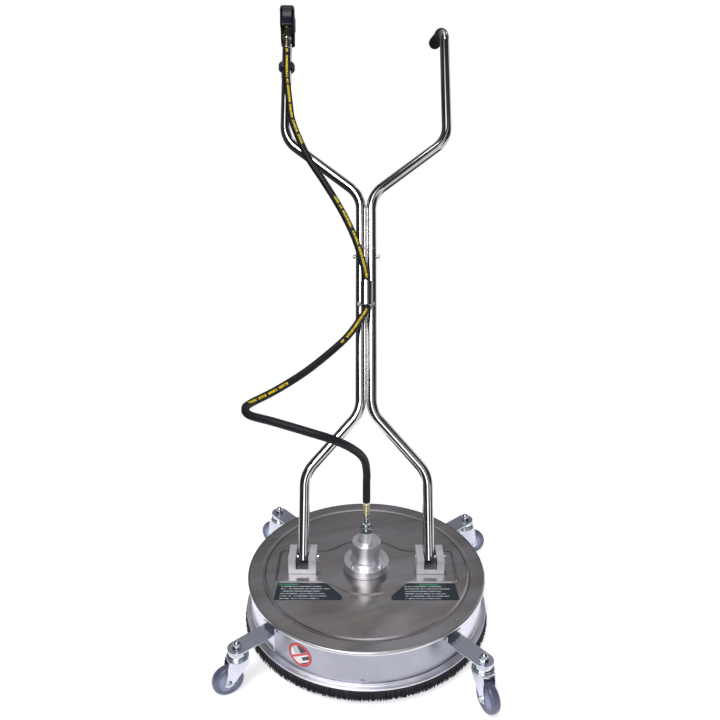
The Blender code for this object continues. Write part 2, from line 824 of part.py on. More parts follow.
def gun_shells(gun, handle):
    """Two moulded halves that meet on the gun's middle plane."""
    half = GUN_WIDTH / 2
    socket_place = (-ARM_X, 0, 0)
    for name, side in (("left", -1), ("right", 1)):
        shell = add(
            "gun_shell_" + name,
            prism(gun_outline(), -half, half, "x"),
            "plastic_black",
            gun,
        )
        soften(shell, 0.005, 2)
        middle = box((0.1, 0.5, 0.5), (-side * (0.05 - GAP / 2), 0, 0))
        cut(shell, "middle_cutter_" + name, middle, gun)
        grip_side = box(
            (0.02, 0.16, 0.12), (side * (GRIP_WIDTH / 2 + 0.01), 0.150, 0.01)
        )
        cut(shell, "grip_cutter_" + name, grip_side, gun)
        chamber = rod(BARREL_RADIUS + GAP, -0.06, 0.0515, 18)
        place = (GUN_X, BARREL_Y, BARREL_Z)
        cut(shell, "chamber_" + name, chamber, handle, place)
        tube_hole = rod(TUBE_RADIUS + GAP, 1.20, GUN_TUBE_END + GAP, 18)
        cut(shell, "tube_socket_" + name, tube_hole, handle, socket_place)
        slot = box((TRIGGER_WIDTH + 0.001, 0.050, 0.034), (0, 0.068, 0.001))
        cut(shell, "trigger_slot_" + name, slot, gun)
        pin_hole = rod(0.0034, -0.0125, 0.0125, 12)
        cut(shell, "trigger_hole_" + name, pin_hole, gun, (0, *TRIGGER_PIVOT), ALONG_X)
        lock_hole = rod(0.0049, -0.03, 0.03, 14)
        cut(shell, "lock_hole_" + name, lock_hole, gun, (0, *LOCK_PLACE), ALONG_X)
        inlet_hole = rod(0.0068, 0.150, 0.25, 14)
        cut(shell, "inlet_hole_" + name, inlet_hole, gun, (0, 0, 0.022), ALONG_Y)


def trigger(gun):
    """A curved lever under the grip, turning on trunnions near the gun's body."""
    back, up = TRIGGER_PIVOT
    outline = (
        arc((back, up), 0.0055, 60, 200, 6)
        + [(0.058, -0.012), (0.072, -0.022), (0.092, -0.029), (0.116, -0.036)]
        + [(0.121, -0.034), (0.120, -0.030)]
        + [(0.096, -0.021), (0.078, -0.012), (0.066, -0.002)]
    )
    half = TRIGGER_WIDTH / 2
    relative = [(a - back, b - up) for a, b in outline]
    place = (0, back, up)
    lever = prism(relative, -half, half, "x")
    piece = add("trigger", lever, "plastic_black", gun, place)
    trunnion = rod(0.003, -0.012, 0.012, 12)
    join(piece, "trigger_trunnion", trunnion, gun, place, ALONG_X)


def trigger_lock(gun):
    """A cross bolt that slides through both halves to block the trigger."""
    reach = GRIP_WIDTH / 2
    profile = [(0.0035, -reach - 0.001), (0.0045, -reach), (0.0045, reach + 0.003)]
    profile.append((0.0035, reach + 0.004))
    place = (0, *LOCK_PLACE)
    add("trigger_lock", turned(profile, 14), "zinc", gun, place, ALONG_X)


def valve_body(handle):
    """The brass valve inside the gun's head, whose mouth faces down the handle."""
    place = (GUN_X, BARREL_Y, BARREL_Z)
    add("valve_body", rod(BARREL_RADIUS, -0.007, 0.051, 18), "brass", handle, place)


def outlet_fitting(handle):
    """Hexagon, plated ring and dark ferrule between the valve and the hose."""
    top = BARREL_Z - 0.007 - GAP
    profile = [
        (0.0092, HOSE_END + GAP),
        (0.0100, HOSE_END + 0.002),
        (0.0100, HOSE_END + 0.020),
        (0.0125, HOSE_END + 0.0215),
        (0.0125, HOSE_END + 0.031),
        (0.0108, HOSE_END + 0.033),
        (0.0108, top),
    ]
    place = (GUN_X, BARREL_Y, 0)
    add("outlet_fitting", turned(profile, 18), "brass", handle, place)


def inlet_connector(gun):
    """The supply connector at the rear of the grip: shank, hexagon and threaded end."""
    profile = [
        (0.0040, 0.160),
        (0.0064, 0.160),
        (0.0064, 0.198),
        (0.0100, 0.198),
        (0.0100, 0.207),
        (0.0078, 0.208),
        (0.0078, 0.226),
        (0.0040, 0.226),
    ]
    shape = turned(profile, 18, closed=True)
    add("inlet_connector", shape, "brass", gun, (0, 0, 0.022), ALONG_Y)


def gun_clamp(handle):
    """A band round the left tube, with a lug at its back, that holds the gun's foot."""
    half = CLAMP_WIDTH / 2
    low, high = CLAMP_Z - half, CLAMP_Z + half
    band = rod(CLAMP_RADIUS, low, high, 24, TUBE_RADIUS + GAP)
    place = (-ARM_X, 0, 0)
    clamp = add("gun_clamp", band, "rubber_black", handle, place)
    lug = box((0.012, 0.016, 0.026), (-0.010, CLAMP_RADIUS + 0.002, CLAMP_Z - 0.006))
    join(clamp, "clamp_lug", lug, handle, place)
    relief = box((0.06, 0.03, 0.06), (0, -0.015 - 0.0165, CLAMP_Z))
    cut(clamp, "clamp_relief", relief, handle, place)


# ---------------------------------------------------------------- hose
def handle_point(x, y, z):
    """A point of the handle's frame in the deck's frame, with Z from the floor."""
    back = y * math.cos(LEAN) + z * math.sin(LEAN)
    up = z * math.cos(LEAN) - y * math.sin(LEAN)
    return Vector((x, back, PIVOT_Z + up))


def hose_route():
    """From the gun, down the left arm, through the guide, round a loop to the hub."""
    guide_y = -TUBE_RADIUS - GUIDE_RADIUS - 0.0012
    on_handle = [
        (GUN_X, BARREL_Y, HOSE_END),
        (GUN_X, BARREL_Y, 1.235),
        (-0.2020, -0.031, 1.180),
        (-0.1950, -0.032, 1.121),
        (-0.1868, -0.032, 1.066),
        (-0.1670, -0.032, 1.011),
        (-0.1415, -0.031, 0.957),
        (-0.1075, -0.031, 0.903),
        (-0.0755, -0.030, 0.850),
        (-0.0480, -0.030, 0.798),
        (-0.0255, -0.029, 0.746),
        (-0.0100, -0.028, 0.695),
        (-0.0006, guide_y, 0.655),
        (0.0, guide_y, 0.642),
        (0.0, guide_y, 0.582),
        (-0.0004, guide_y, 0.572),
        (-0.0130, -0.031, 0.550),
    ]
    above_rim = [
        (-0.0500, 0.2180, 0.4740),
        (-0.1280, 0.1450, 0.4280),
        (-0.1960, 0.0820, 0.4030),
        (-0.2455, 0.0230, 0.3965),
        (-0.2500, -0.0190, 0.4030),
        (-0.2340, -0.0640, 0.4090),
        (-0.1850, -0.0930, 0.4090),
        (-0.1180, -0.1120, 0.3970),
        (-0.0640, -0.1080, 0.3760),
        (-0.0270, -0.0760, 0.3390),
        (-0.0060, -0.0340, 0.2940),
        (0.0, -0.0100, 0.2500),
        (0.0, 0.0010, 0.2200),
        (0.0, 0.0, 0.1950),
        (0.0, 0.0, FERRULE_TOP + GAP),
    ]
    down_handle = [handle_point(*p) for p in on_handle]
    return down_handle + [Vector((x, y, RIM_Z + z)) for x, y, z in above_rim]


def smooth_path(points, spacing):
    """Evenly spaced points on a smooth curve through the given ones."""
    ends = [points[0] * 2 - points[1], *points, points[-1] * 2 - points[-2]]
    fine = []
    for a, b, c, d in zip(ends, ends[1:], ends[2:], ends[3:]):
        for k in range(16):
            t = k / 16
            fine.append(
                0.5
                * (
                    2 * b
                    + (c - a) * t
                    + (2 * a - 5 * b + 4 * c - d) * t * t
                    + (3 * b - a - 3 * c + d) * t * t * t
                )
            )
    fine.append(points[-1])
    lengths = [0.0]
    for a, b in zip(fine, fine[1:]):
        lengths.append(lengths[-1] + (b - a).length)
    count = round(lengths[-1] / spacing)
    even = []
    at = 0
    for k in range(count + 1):
        target = lengths[-1] * k / count
        while at < len(fine) - 2 and lengths[at + 1] < target:
            at += 1
        share = (target - lengths[at]) / (lengths[at + 1] - lengths[at])
        even.append(fine[at].lerp(fine[at + 1], share))
    return even


def hose(floor):
    points = smooth_path(hose_route(), 2.6 * HOSE_RADIUS)
    curve = bpy.data.curves.new("hose", "CURVE")
    curve.dimensions = "3D"
    curve.bevel_depth = HOSE_RADIUS
    curve.bevel_resolution = 2
    curve.use_fill_caps = True
    line = curve.splines.new("POLY")
    line.points.add(len(points) - 1)
    for knot, point in zip(line.points, points):
        knot.co = (*point, 1.0)
    curve.materials.append(finish("rubber_black"))
    tube = bpy.data.objects.new("hose", curve)
    tube.parent = floor
    bpy.context.scene.collection.objects.link(tube)


# ---------------------------------------------------------------- assembly
def main():
    for old in list(bpy.data.objects):
        bpy.data.objects.remove(old)
    floor = empty("machine", None, (DECK_X, DECK_Y, 0))
    deck = empty("deck_frame", floor, (0, 0, RIM_Z))
    deck_cover(deck)
    side_band(deck)
    brush_skirt(deck, skirt_ring(deck))
    casters(floor)
    hub_housing(deck)
    bearings(deck)
    hose_end_lower(deck, inlet_adapter(deck))
    rotor(deck)
    pivot_blocks(deck)
    handle = empty("handle_frame", floor, (0, 0, PIVOT_Z), (-LEAN, 0, 0))
    lower_tubes(handle)
    upper_tubes(handle)
    grip_right(handle)
    thumb_screws(handle)
    hose_guide(handle)
    upright = empty("gun_upright", handle, (GUN_X, BARREL_Y, BARREL_Z), (LEAN, 0, 0))
    gun = empty("gun_frame", upright, rotation=(0, 0, GUN_TOE))
    gun_shells(gun, handle)
    trigger(gun)
    trigger_lock(gun)
    valve_body(handle)
    outlet_fitting(handle)
    inlet_connector(gun)
    gun_clamp(handle)
    hose(floor)


main()
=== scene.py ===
"""The looks of a rotary surface cleaner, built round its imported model.

Metres, +Z up. +Y points to the operator, behind the leaning handle.
"""

import json
import math

import bmesh
import bpy
import numpy as np
from mathutils import Matrix, Vector

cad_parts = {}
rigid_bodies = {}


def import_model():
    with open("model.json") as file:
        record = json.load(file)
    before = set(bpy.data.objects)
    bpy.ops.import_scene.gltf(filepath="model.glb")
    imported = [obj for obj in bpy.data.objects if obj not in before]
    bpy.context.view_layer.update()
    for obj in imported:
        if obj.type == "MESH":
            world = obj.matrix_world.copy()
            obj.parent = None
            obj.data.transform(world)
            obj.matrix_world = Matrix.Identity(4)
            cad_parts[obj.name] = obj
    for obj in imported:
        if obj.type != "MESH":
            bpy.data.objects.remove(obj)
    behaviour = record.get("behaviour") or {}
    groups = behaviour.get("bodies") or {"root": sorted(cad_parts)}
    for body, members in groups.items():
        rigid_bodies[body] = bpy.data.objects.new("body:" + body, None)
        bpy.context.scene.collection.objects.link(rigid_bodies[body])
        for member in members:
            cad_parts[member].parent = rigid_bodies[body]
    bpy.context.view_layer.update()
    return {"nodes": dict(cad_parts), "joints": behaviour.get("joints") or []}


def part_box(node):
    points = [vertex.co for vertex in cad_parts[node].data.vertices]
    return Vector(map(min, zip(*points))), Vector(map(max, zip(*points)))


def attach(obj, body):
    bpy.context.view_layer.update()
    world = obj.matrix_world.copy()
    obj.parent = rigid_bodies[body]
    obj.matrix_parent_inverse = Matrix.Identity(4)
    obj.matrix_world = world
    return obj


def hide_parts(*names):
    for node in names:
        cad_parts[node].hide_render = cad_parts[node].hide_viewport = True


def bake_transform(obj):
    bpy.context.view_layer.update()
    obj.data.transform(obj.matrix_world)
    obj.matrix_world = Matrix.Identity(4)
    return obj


for old in list(bpy.data.objects):
    bpy.data.objects.remove(old)
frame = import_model()

# ---------------------------------------------------------------- driving dimensions
GAP = 0.0003  # between touching pieces
SIDES = {"left": -1, "right": 1}
PLATEAU_HEIGHT = 0.0015
JOINTS = {joint["name"]: joint for joint in frame["joints"]}
AXIS = Vector(JOINTS["rotor_spin"]["pos_m"])
PIVOT = Vector(JOINTS["handle_tilt"]["pos_m"])
RIM_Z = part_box("deck_cover")[1].z - PLATEAU_HEIGHT
RIM_RADIUS = 0.2675
SHEET = 0.002  # thickness of the lid
BEAD = 0.0045  # half the height of the rolled rim
GROOVE_RADIUS = 0.866 * RIM_RADIUS
GROOVE_HALF = 0.0046
GROOVE_DEPTH = 0.0017
PLATEAU_RADIUS = 0.0985
PLATEAU_SLOPE = 0.0056  # how wide the step up to the plateau is
WING_REACH = 0.200
WING_HALF = 0.0565
WING_CORNER = 0.010
COVER_BORE = 0.036
WALL_RADIUS = 0.262
WALL_HEIGHT = 0.079
PANEL_SPAN = 47.2  # degrees to each side of the front
RING_LOW = -WALL_HEIGHT - 0.009
RING_HEIGHT = 0.0098
RING_RADIUS = 0.274
BRUSH_INNER = 0.2665
BRUSH_OUTER = 0.279
BRUSH_BOTTOM = 0.0155
TUFTS, STRANDS = 300, 11  # tufts in a row, and strands in a tuft
STRAND_RADIUS = 0.00078
TUFT_ROWS = ((0.2675, 0.2680), (0.2700, 0.2734), (0.2720, 0.2776))  # radius at top and bottom
SCREW_ANGLES = (-2, 55, 112, 178, -112, -55)  # skirt screws, in degrees from the front

LABEL_TOP, LABEL_SLANT, LABEL_BOTTOM = -0.0590, -0.1015, -0.1143
LABEL_OUTER, LABEL_CORNER, LABEL_INNER = 0.1985, 0.0880, 0.0530
STICKER_ANGLE = math.radians(-90 - 30.8)
STICKER_Z = -0.0430
STICKER_RADIUS = 0.0278

STEM_CIRCLE = 0.344  # radius on which the casters swivel
LEG_TWIST = -3.7
LEG_WIDTH = 0.040
LEG_TOP = RIM_Z - 0.022
STEM_RADIUS = 0.005
WHEEL_RADIUS = 0.0325
WHEEL_HALF = 0.011
TRAIL = 0.024  # from a caster's swivel axis to its axle
FORK_TOP = 0.083
RACE_RADIUS = 0.022
# Each caster's leg, and the way it trails, in degrees from +X.
CASTERS = {"fl": (225, 206), "fr": (315, -67), "rl": (135, 150), "rr": (45, 15)}

LEAN = math.radians(31.4)
TUBE_RADIUS = 0.01235
TUBE_BORE = 0.01085
BEND_RADIUS = 0.075
FOOT_X = 0.1420
BLOCK_X = 0.1435
BLOCK_HALF, BLOCK_DEPTH, BLOCK_HEIGHT = 0.031, 0.0293, 0.0370
BLOCK_SLOT, BLOCK_FLOOR = 0.0142, PLATEAU_HEIGHT + GAP + 0.0112
PAIR_X = 0.0128  # the two middle tubes, to each side of the centre
JOINT_Z = 0.740
SCREW_Z = 0.714
ARM_X = 0.2065
ARM_TOP = 1.304
END_BEND_RADIUS = 0.050
END_BEND = math.radians(64.6)
END_STRAIGHT = 0.118
END_TOE = math.radians(4)  # how far the right grip turns inwards
GUIDE_Z = 0.612
GUIDE_LENGTH = 0.061
GUIDE_RADIUS = 0.014
GUIDE_BORE = 0.0092
GUIDE_Y = -TUBE_RADIUS - GUIDE_RADIUS - 0.0012
GRIP_RADIUS = 0.017
GRIP_LENGTH = 0.112

GUN_X = -ARM_X + 0.0025
BARREL_Y = -0.030
BARREL_Z = 1.325
BARREL_RADIUS = 0.0122
GUN_WIDTH = 0.036
GUN_TOE = math.radians(3)
GRIP_WIDTH = 0.031
GUN_TUBE_END = 1.330
CLAMP_Z = 1.232
CLAMP_RADIUS = 0.0212
TRIGGER_PIVOT = (0.052, 0.006)
LOCK_PLACE = (0.088, 0.026)
HOSE_RADIUS = 0.0085
FERRULE_TOP = 0.171
HOSE_END = 1.268
HOSE_STEP = 0.004
CAMERA_PLACE = (-0.0134, -1.3250, 0.9961)  # from the deck's axis, above the rim
CAMERA_TILT, CAMERA_TURN = 69.5841, 0.1476  # degrees

# ---------------------------------------------------------------- frames
IDENTITY = Matrix.Identity(4)
FLOOR = Matrix.Translation((AXIS.x, AXIS.y, 0))
DECK = Matrix.Translation((AXIS.x, AXIS.y, RIM_Z))
HANDLE = Matrix.Translation(PIVOT) @ Matrix.Rotation(-LEAN, 4, "X")
GUN = HANDLE @ Matrix.Translation((GUN_X, BARREL_Y, BARREL_Z))
GUN = GUN @ Matrix.Rotation(LEAN, 4, "X") @ Matrix.Rotation(GUN_TOE, 4, "Z")
ALONG_X = Matrix.Rotation(math.pi / 2, 4, "Y")
ALONG_Y = Matrix.Rotation(-math.pi / 2, 4, "X")


def at(x=0.0, y=0.0, z=0.0):
    return Matrix.Translation((x, y, z))


def spun(degrees, axis="Z"):
    return Matrix.Rotation(math.radians(degrees), 4, axis)


# ---------------------------------------------------------------- camera and light
def make_camera():
    data = bpy.data.cameras.new("view")
    data.lens = 34.8
    data.sensor_width = 36.0
    data.shift_x = 0.0016
    data.clip_start = 0.05
    data.clip_end = 60.0
    camera = bpy.data.objects.new("view", data)
    camera.location = DECK @ Vector(CAMERA_PLACE)
    camera.rotation_euler = (math.radians(CAMERA_TILT), 0, math.radians(CAMERA_TURN))
    bpy.context.scene.collection.objects.link(camera)
    bpy.context.scene.camera = camera


def area_light(name, place, target, size, power):
    """A soft light turned to its target, hidden from the camera."""
    data = bpy.data.lights.new(name, "AREA")
    data.shape = "RECTANGLE"
    data.size, data.size_y = size
    data.energy = power
    lamp = bpy.data.objects.new(name, data)
    lamp.location = place
    lamp.rotation_euler = (Vector(target) - Vector(place)).to_track_quat("-Z", "Y").to_euler()
    lamp.visible_camera = False
    bpy.context.scene.collection.objects.link(lamp)


# ---------------------------------------------------------------- materials
class Nodes:
    """A node tree, built node by node. A socket's name has _ for a space, or is _ and a number."""

    def __init__(self, tree):
        self.tree = tree

    def set(self, node, **sockets):
        for name, value in sockets.items():
            key = int(name[1:]) if name[0] == "_" else name.replace("_", " ")
            socket = node.inputs[key]
            if isinstance(value, bpy.types.NodeSocket):
                self.tree.links.new(value, socket)
            elif socket.type == "RGBA" and len(value) == 3:
                socket.default_value = (*value, 1.0)
            else:
                socket.default_value = value

    def node(self, kind, settings=(), **sockets):
        made = self.tree.nodes.new("ShaderNode" + kind)
        for name, value in dict(settings).items():
            setattr(made, name, value)
        self.set(made, **sockets)
        return made

    def math(self, operation, first, *others):
        """One sum over all the values, two at a time."""
        for other in others or (0.0,):
            made = self.node("Math", {"operation": operation}, _0=first, _1=other)
            first = made.outputs[0]
        return first

    def times(self, *values):
        return self.math("MULTIPLY", *values)

    def plus(self, *values):
        return self.math("ADD", *values)

    def most(self, *values):
        return self.math("MAXIMUM", *values)

    def above(self, value, limit):
        return self.math("GREATER_THAN", value, limit)

    def below(self, value, limit):
        return self.math("LESS_THAN", value, limit)

    def near(self, value, centre, reach):
        return self.below(self.math("ABSOLUTE", self.math("SUBTRACT", value, centre)), reach)

    def split(self, vector):
        parts = self.node("SeparateXYZ", Vector=vector).outputs
        return parts["X"], parts["Y"], parts["Z"]

    def spread(self, value, low=0.0, high=1.0, start=0.3, end=0.7, settings=()):
        """Low at the start value, high at the end value."""
        made = self.node("MapRange", settings, Value=value, From_Min=start, From_Max=end)
        self.set(made, To_Min=low, To_Max=high)
        return made.outputs[0]

    def mix(self, share, a, b):
        return self.node("Mix", {"data_type": "RGBA"}, _0=share, _6=a, _7=b).outputs[2]


class Look(Nodes):
    """One procedural material."""

    def __init__(self, name, slot, **fixed):
        self.slot = slot
        self.material = bpy.data.materials.new(name)
        self.material.use_nodes = True
        super().__init__(self.material.node_tree)
        self.shader = self.tree.nodes["Principled BSDF"]
        self.set(self.shader, **fixed)

    def surface(self, colour, rough, **more):
        self.set(self.shader, Base_Color=colour, Roughness=rough, **more)
        return self

    def spot(self, scale=(1, 1, 1), turn=(0, 0, 0)):
        """Object coordinates, turned and then stretched."""
        spot = self.node("TexCoord").outputs["Object"]
        if any(turn):
            spot = self.node("Mapping", Vector=spot, Rotation=turn).outputs[0]
        return self.node("Mapping", Vector=spot, Scale=scale).outputs[0]

    def place(self, scale=(1, 1, 1)):
        """The mesh's own place attribute, stretched."""
        spot = self.node("Attribute", {"attribute_name": "place"}).outputs["Vector"]
        return self.node("Mapping", Vector=spot, Scale=scale).outputs[0]

    def noise(self, spot, detail=2.0, rough=0.5, scale=1.0):
        made = self.node("TexNoise", Vector=spot, Scale=scale, Detail=detail, Roughness=rough)
        return made.outputs["Fac"]

    def cloud(self, scale, detail=3.0, rough=0.5):
        return self.noise(self.spot(), detail, rough, scale)

    def length(self, vector):
        return self.node("VectorMath", {"operation": "LENGTH"}, _0=vector).outputs["Value"]

    def bump(self, height, strength, distance=0.0004):
        made = self.node("Bump", Height=height, Strength=strength, Distance=distance)
        return made.outputs[0]

    def turned_spot(self, density):
        """Coordinates that are the same all round Z, for marks left by a lathe."""
        spot = self.node("TexCoord").outputs["Object"]
        flat = self.node("VectorMath", {"operation": "MULTIPLY"}, _0=spot, _1=(1, 1, 0))
        radius = self.length(flat.outputs[0])
        rings = self.node("CombineXYZ", X=radius, Y=self.split(spot)[2]).outputs[0]
        return self.node("Mapping", Vector=rings, Scale=(density,) * 3).outputs[0]


def metal(
    name, slot, dark, light, rough, grain, turn=(0, 0, 0), haze=9.0, sheen_streak_stretch=(1, 1, 1),
    density=1500.0, depth=0.15, marks=0.05, fine=0.4, scratched=0.5, tangent=False, **fixed
):
    """A bare metal: grain lines, cloudy colour, handling marks and fine scratches. Where the clouds
    are stretched, their streaks are also a painted sheen.
    """
    look = Look(name, slot, **{"Metallic": 1.0, **fixed})
    lines = look.turned_spot(density) if grain == "turned" else look.spot(grain, turn)
    lines = look.noise(lines, 3.0, 0.65)
    # Broad random tone. When it is stretched along the grain, it also paints streaks of sheen.
    broad = look.noise(look.spot(tuple(haze * k for k in sheen_streak_stretch), turn), 3.0, 0.55)
    share = look.plus(look.times(lines, fine), look.times(broad, 1.05 - fine))
    colour = look.mix(look.spread(share, start=0.36, end=0.68), dark, light)
    handled = look.spread(look.cloud(haze * 4.5, 4.0, 0.7), 0.0, marks, 0.5, 0.75)
    dull = look.plus(look.spread(lines, *rough), look.spread(broad, -0.02, 0.035), handled)
    scratches = look.noise(look.spot((26, 900, 900), (0, 0, 0.7)), 1.0)
    scratches = look.spread(scratches, start=0.72, end=0.8)
    height = look.math("SUBTRACT", lines, look.times(scratches, scratched))
    if tangent:
        along = look.node("Tangent", {"direction_type": "UV_MAP"}).outputs[0]
        look.set(look.shader, Tangent=along)
    return look.surface(colour, dull, Normal=look.bump(height, depth))


def moulded(name, slot, dark, light, rough, grain, depth, specular=0.4, worn=None):
    """Rubber or plastic: a fine skin, cloudy dulling and paler worn edges."""
    look = Look(name, slot, Specular_IOR_Level=specular)
    skin = look.cloud(grain, 4.0, 0.6)
    broad = look.cloud(22.0, 4.0, 0.6)
    edge = look.node("NewGeometry").outputs["Pointiness"]
    wear = look.times(look.spread(edge, 0.0, 0.5, 0.53, 0.62), look.spread(broad, 0.2, 1.0))
    colour = look.mix(look.spread(broad), dark, light)
    colour = look.mix(wear, colour, worn or tuple(2.6 * c for c in light))
    dull = look.plus(look.spread(skin, *rough), look.spread(broad, -0.05, 0.06))
    return look.surface(colour, dull, Normal=look.bump(skin, depth))


DECK_GRAIN = -math.radians(19)
LOOKS = {
    # The deck's cloudy tone is stretched along the grain. It is random tone and also a painted
    # sheen in streaks, standing in for the hub's smeared reflection.
    "deck": metal(
        "deck_steel", "satin_steel", (0.38, 0.35, 0.335), (0.60, 0.58, 0.595),
        (0.18, 0.25), (6, 900, 900), turn=(0, 0, DECK_GRAIN), haze=4.5, depth=0.035,
        Anisotropic=0.66, tangent=True, marks=0.03, fine=0.16, sheen_streak_stretch=(0.6, 3.0, 1.0),
        scratched=0.1,
    ),
    "rim": metal(
        "rim_steel", "satin_steel", (0.66, 0.65, 0.65), (0.84, 0.83, 0.83),
        (0.30, 0.38), "turned", depth=0.03, density=900.0,
    ),
    "panel": metal(
        "panel_steel", "satin_steel", (0.355, 0.355, 0.415), (0.445, 0.445, 0.515),
        (0.24, 0.34), (60, 60, 1500), haze=6.0, depth=0.04, fine=0.25,
    ),
    "wall": metal(
        "wall_steel", "satin_steel", (0.62, 0.62, 0.72), (0.72, 0.72, 0.82),
        (0.20, 0.30), (50, 50, 1300), depth=0.03, fine=0.25,
    ),
    "ring": metal(
        "ring_steel", "satin_steel", (0.74, 0.74, 0.80), (0.88, 0.88, 0.93),
        (0.38, 0.46), "turned", haze=14.0, depth=0.02, density=1100.0, fine=0.2,
    ),
    "chrome": metal(
        "polished_tube", "polished_steel", (0.66, 0.645, 0.635), (0.80, 0.79, 0.785),
        (0.04, 0.08), (160, 160, 5), turn=(LEAN, 0, 0), haze=16.0, depth=0.002, marks=0.03,
        fine=0.2, scratched=0.05,
    ),
    "zinc": metal(
        "zinc_plate", "zinc", (0.56, 0.58, 0.67), (0.66, 0.68, 0.78),
        (0.26, 0.30), (240, 240, 240), depth=0.012, marks=0.02, fine=0.12, scratched=0.1,
    ),
    "zinc_bright": metal(
        "zinc_bright", "zinc", (0.46, 0.50, 0.53), (0.66, 0.70, 0.74),
        (0.10, 0.18), "turned", haze=70.0, depth=0.04,
    ),
    "fork": metal(
        "fork_zinc", "zinc", (0.58, 0.60, 0.68), (0.70, 0.72, 0.80),
        (0.26, 0.32), (260, 260, 260), haze=22.0, depth=0.015, marks=0.04, fine=0.15,
        scratched=0.1,
    ),
    "aluminium": metal(
        "turned_aluminium", "satin_aluminium", (0.84, 0.84, 0.86), (0.95, 0.95, 0.97),
        (0.34, 0.44), "turned", haze=25.0, depth=0.12, fine=0.3,
    ),
    "steel": metal(
        "hard_steel", "hard_steel", (0.40, 0.40, 0.41), (0.56, 0.56, 0.57),
        (0.14, 0.26), "turned", haze=40.0, depth=0.10,
    ),
    # Painted shade: a darker copy of the hard steel, for the strap that lies in shadow in front of
    # the tubes.
    "strap": metal(
        "strap_steel_painted_shade", "hard_steel", (0.13, 0.13, 0.145), (0.24, 0.24, 0.26),
        (0.30, 0.40), (200, 200, 200), haze=60.0, depth=0.06,
    ),
    "brass": metal(
        "brass", "brass", (0.52, 0.38, 0.16), (0.72, 0.57, 0.29),
        (0.16, 0.28), "turned", haze=60.0, depth=0.10,
    ),
    "gold": metal(
        "yellow_passivated", "brass", (0.66, 0.56, 0.28), (0.92, 0.86, 0.58),
        (0.10, 0.20), "turned", haze=70.0, depth=0.06,
    ),
    "dull_brass": metal(
        "dull_brass", "brass", (0.14, 0.115, 0.075), (0.24, 0.20, 0.14),
        (0.22, 0.34), "turned", haze=60.0, depth=0.10,
    ),
    "rubber": moulded(
        "rubber_skin", "rubber_black", (0.007, 0.007, 0.009), (0.014, 0.014, 0.018),
        (0.44, 0.62), 1100.0, 0.25, specular=0.3,
    ),
    "plastic": moulded(
        "gun_plastic", "plastic_black", (0.004, 0.005, 0.010), (0.009, 0.010, 0.018),
        (0.16, 0.22), 1500.0, 0.05, specular=0.20,
    ),
    "clamp": moulded(
        "clamp_rubber", "rubber_black", (0.016, 0.016, 0.022), (0.050, 0.052, 0.075),
        (0.32, 0.46), 1300.0, 0.2, specular=0.5,
    ),
    "tyre": moulded(
        "tyre_rubber", "wheel_grey", (0.085, 0.095, 0.155), (0.130, 0.142, 0.220),
        (0.22, 0.34), 700.0, 0.08, worn=(0.2, 0.21, 0.3), specular=0.6,
    ),
    "core": moulded(
        "wheel_core", "wheel_grey", (0.29, 0.31, 0.44), (0.40, 0.42, 0.57),
        (0.28, 0.40), 900.0, 0.12, worn=(0.55, 0.57, 0.7),
    ),
}


def bristle_look():
    look = Look("bristles", "bristle_black", Specular_IOR_Level=0.35)
    each = look.noise(look.spot((420, 420, 14)), 1.0)
    shade = look.mix(look.spread(each), (0.006, 0.006, 0.009), (0.034, 0.035, 0.048))
    colour = look.mix(look.spread(look.cloud(18.0), 0.0, 0.5), shade, (0.012, 0.012, 0.016))
    return look.surface(colour, look.spread(each, 0.42, 0.70), Normal=look.bump(each, 0.4, 0.0008))


# Where the hose's print starts and ends, in metres from the gun.
PRINTED = ((0.004, 0.275), (0.435, 0.664), (0.735, 0.850), (1.015, 1.140))


def hose_look(length):
    """Wrapped black rubber with a line of broken yellow marks along it."""
    look = Look("hose_rubber", "rubber_black", Specular_IOR_Level=0.3)
    front, side, along = look.split(look.place())
    weave = look.node("TexWave", {"bands_direction": "Z"}, Vector=look.place(), Scale=260.0)
    look.set(weave, Distortion=1.2, Detail=2.0)
    wrap = look.noise(look.place((900, 900, 2600)))
    cloth = look.plus(look.times(weave.outputs["Fac"], 0.35), wrap)
    broad = look.noise(look.place((30, 30, 16)), 4.0, 0.6)
    black = look.mix(look.spread(broad), (0.008, 0.008, 0.011), (0.018, 0.018, 0.024))
    ramp = look.node("ValToRGB", Fac=look.math("DIVIDE", along, length))
    ramp.color_ramp.interpolation = "CONSTANT"
    stops = ramp.color_ramp.elements
    stops[0].position, stops[0].color = 0.0, (0, 0, 0, 1)
    stops[1].position, stops[1].color = 1.0, (0, 0, 0, 1)
    for start, end in PRINTED:
        stops.new(start / length).color = (1, 1, 1, 1)
        stops.new(end / length).color = (0, 0, 0, 1)
    band = look.times(look.above(front, 0.0), look.near(side, -0.0016, 0.0026))
    strokes = look.above(look.noise(look.place((0, 260, 400)), 1.0), 0.43)
    words = look.above(look.noise(look.place((0, 0, 70)), 0.0), 0.40)
    fade = look.spread(look.noise(look.place((300, 300, 120))), 0.75, 1.0)
    ink = look.times(strokes, words, band, ramp.outputs["Color"], fade)
    colour = look.mix(ink, black, (0.95, 0.72, 0.015))
    rough = look.plus(look.spread(cloth, 0.40, 0.58, 0.4, 0.9), look.spread(broad, -0.04, 0.06))
    return look.surface(colour, rough, Normal=look.bump(cloth, 0.35, 0.0005))


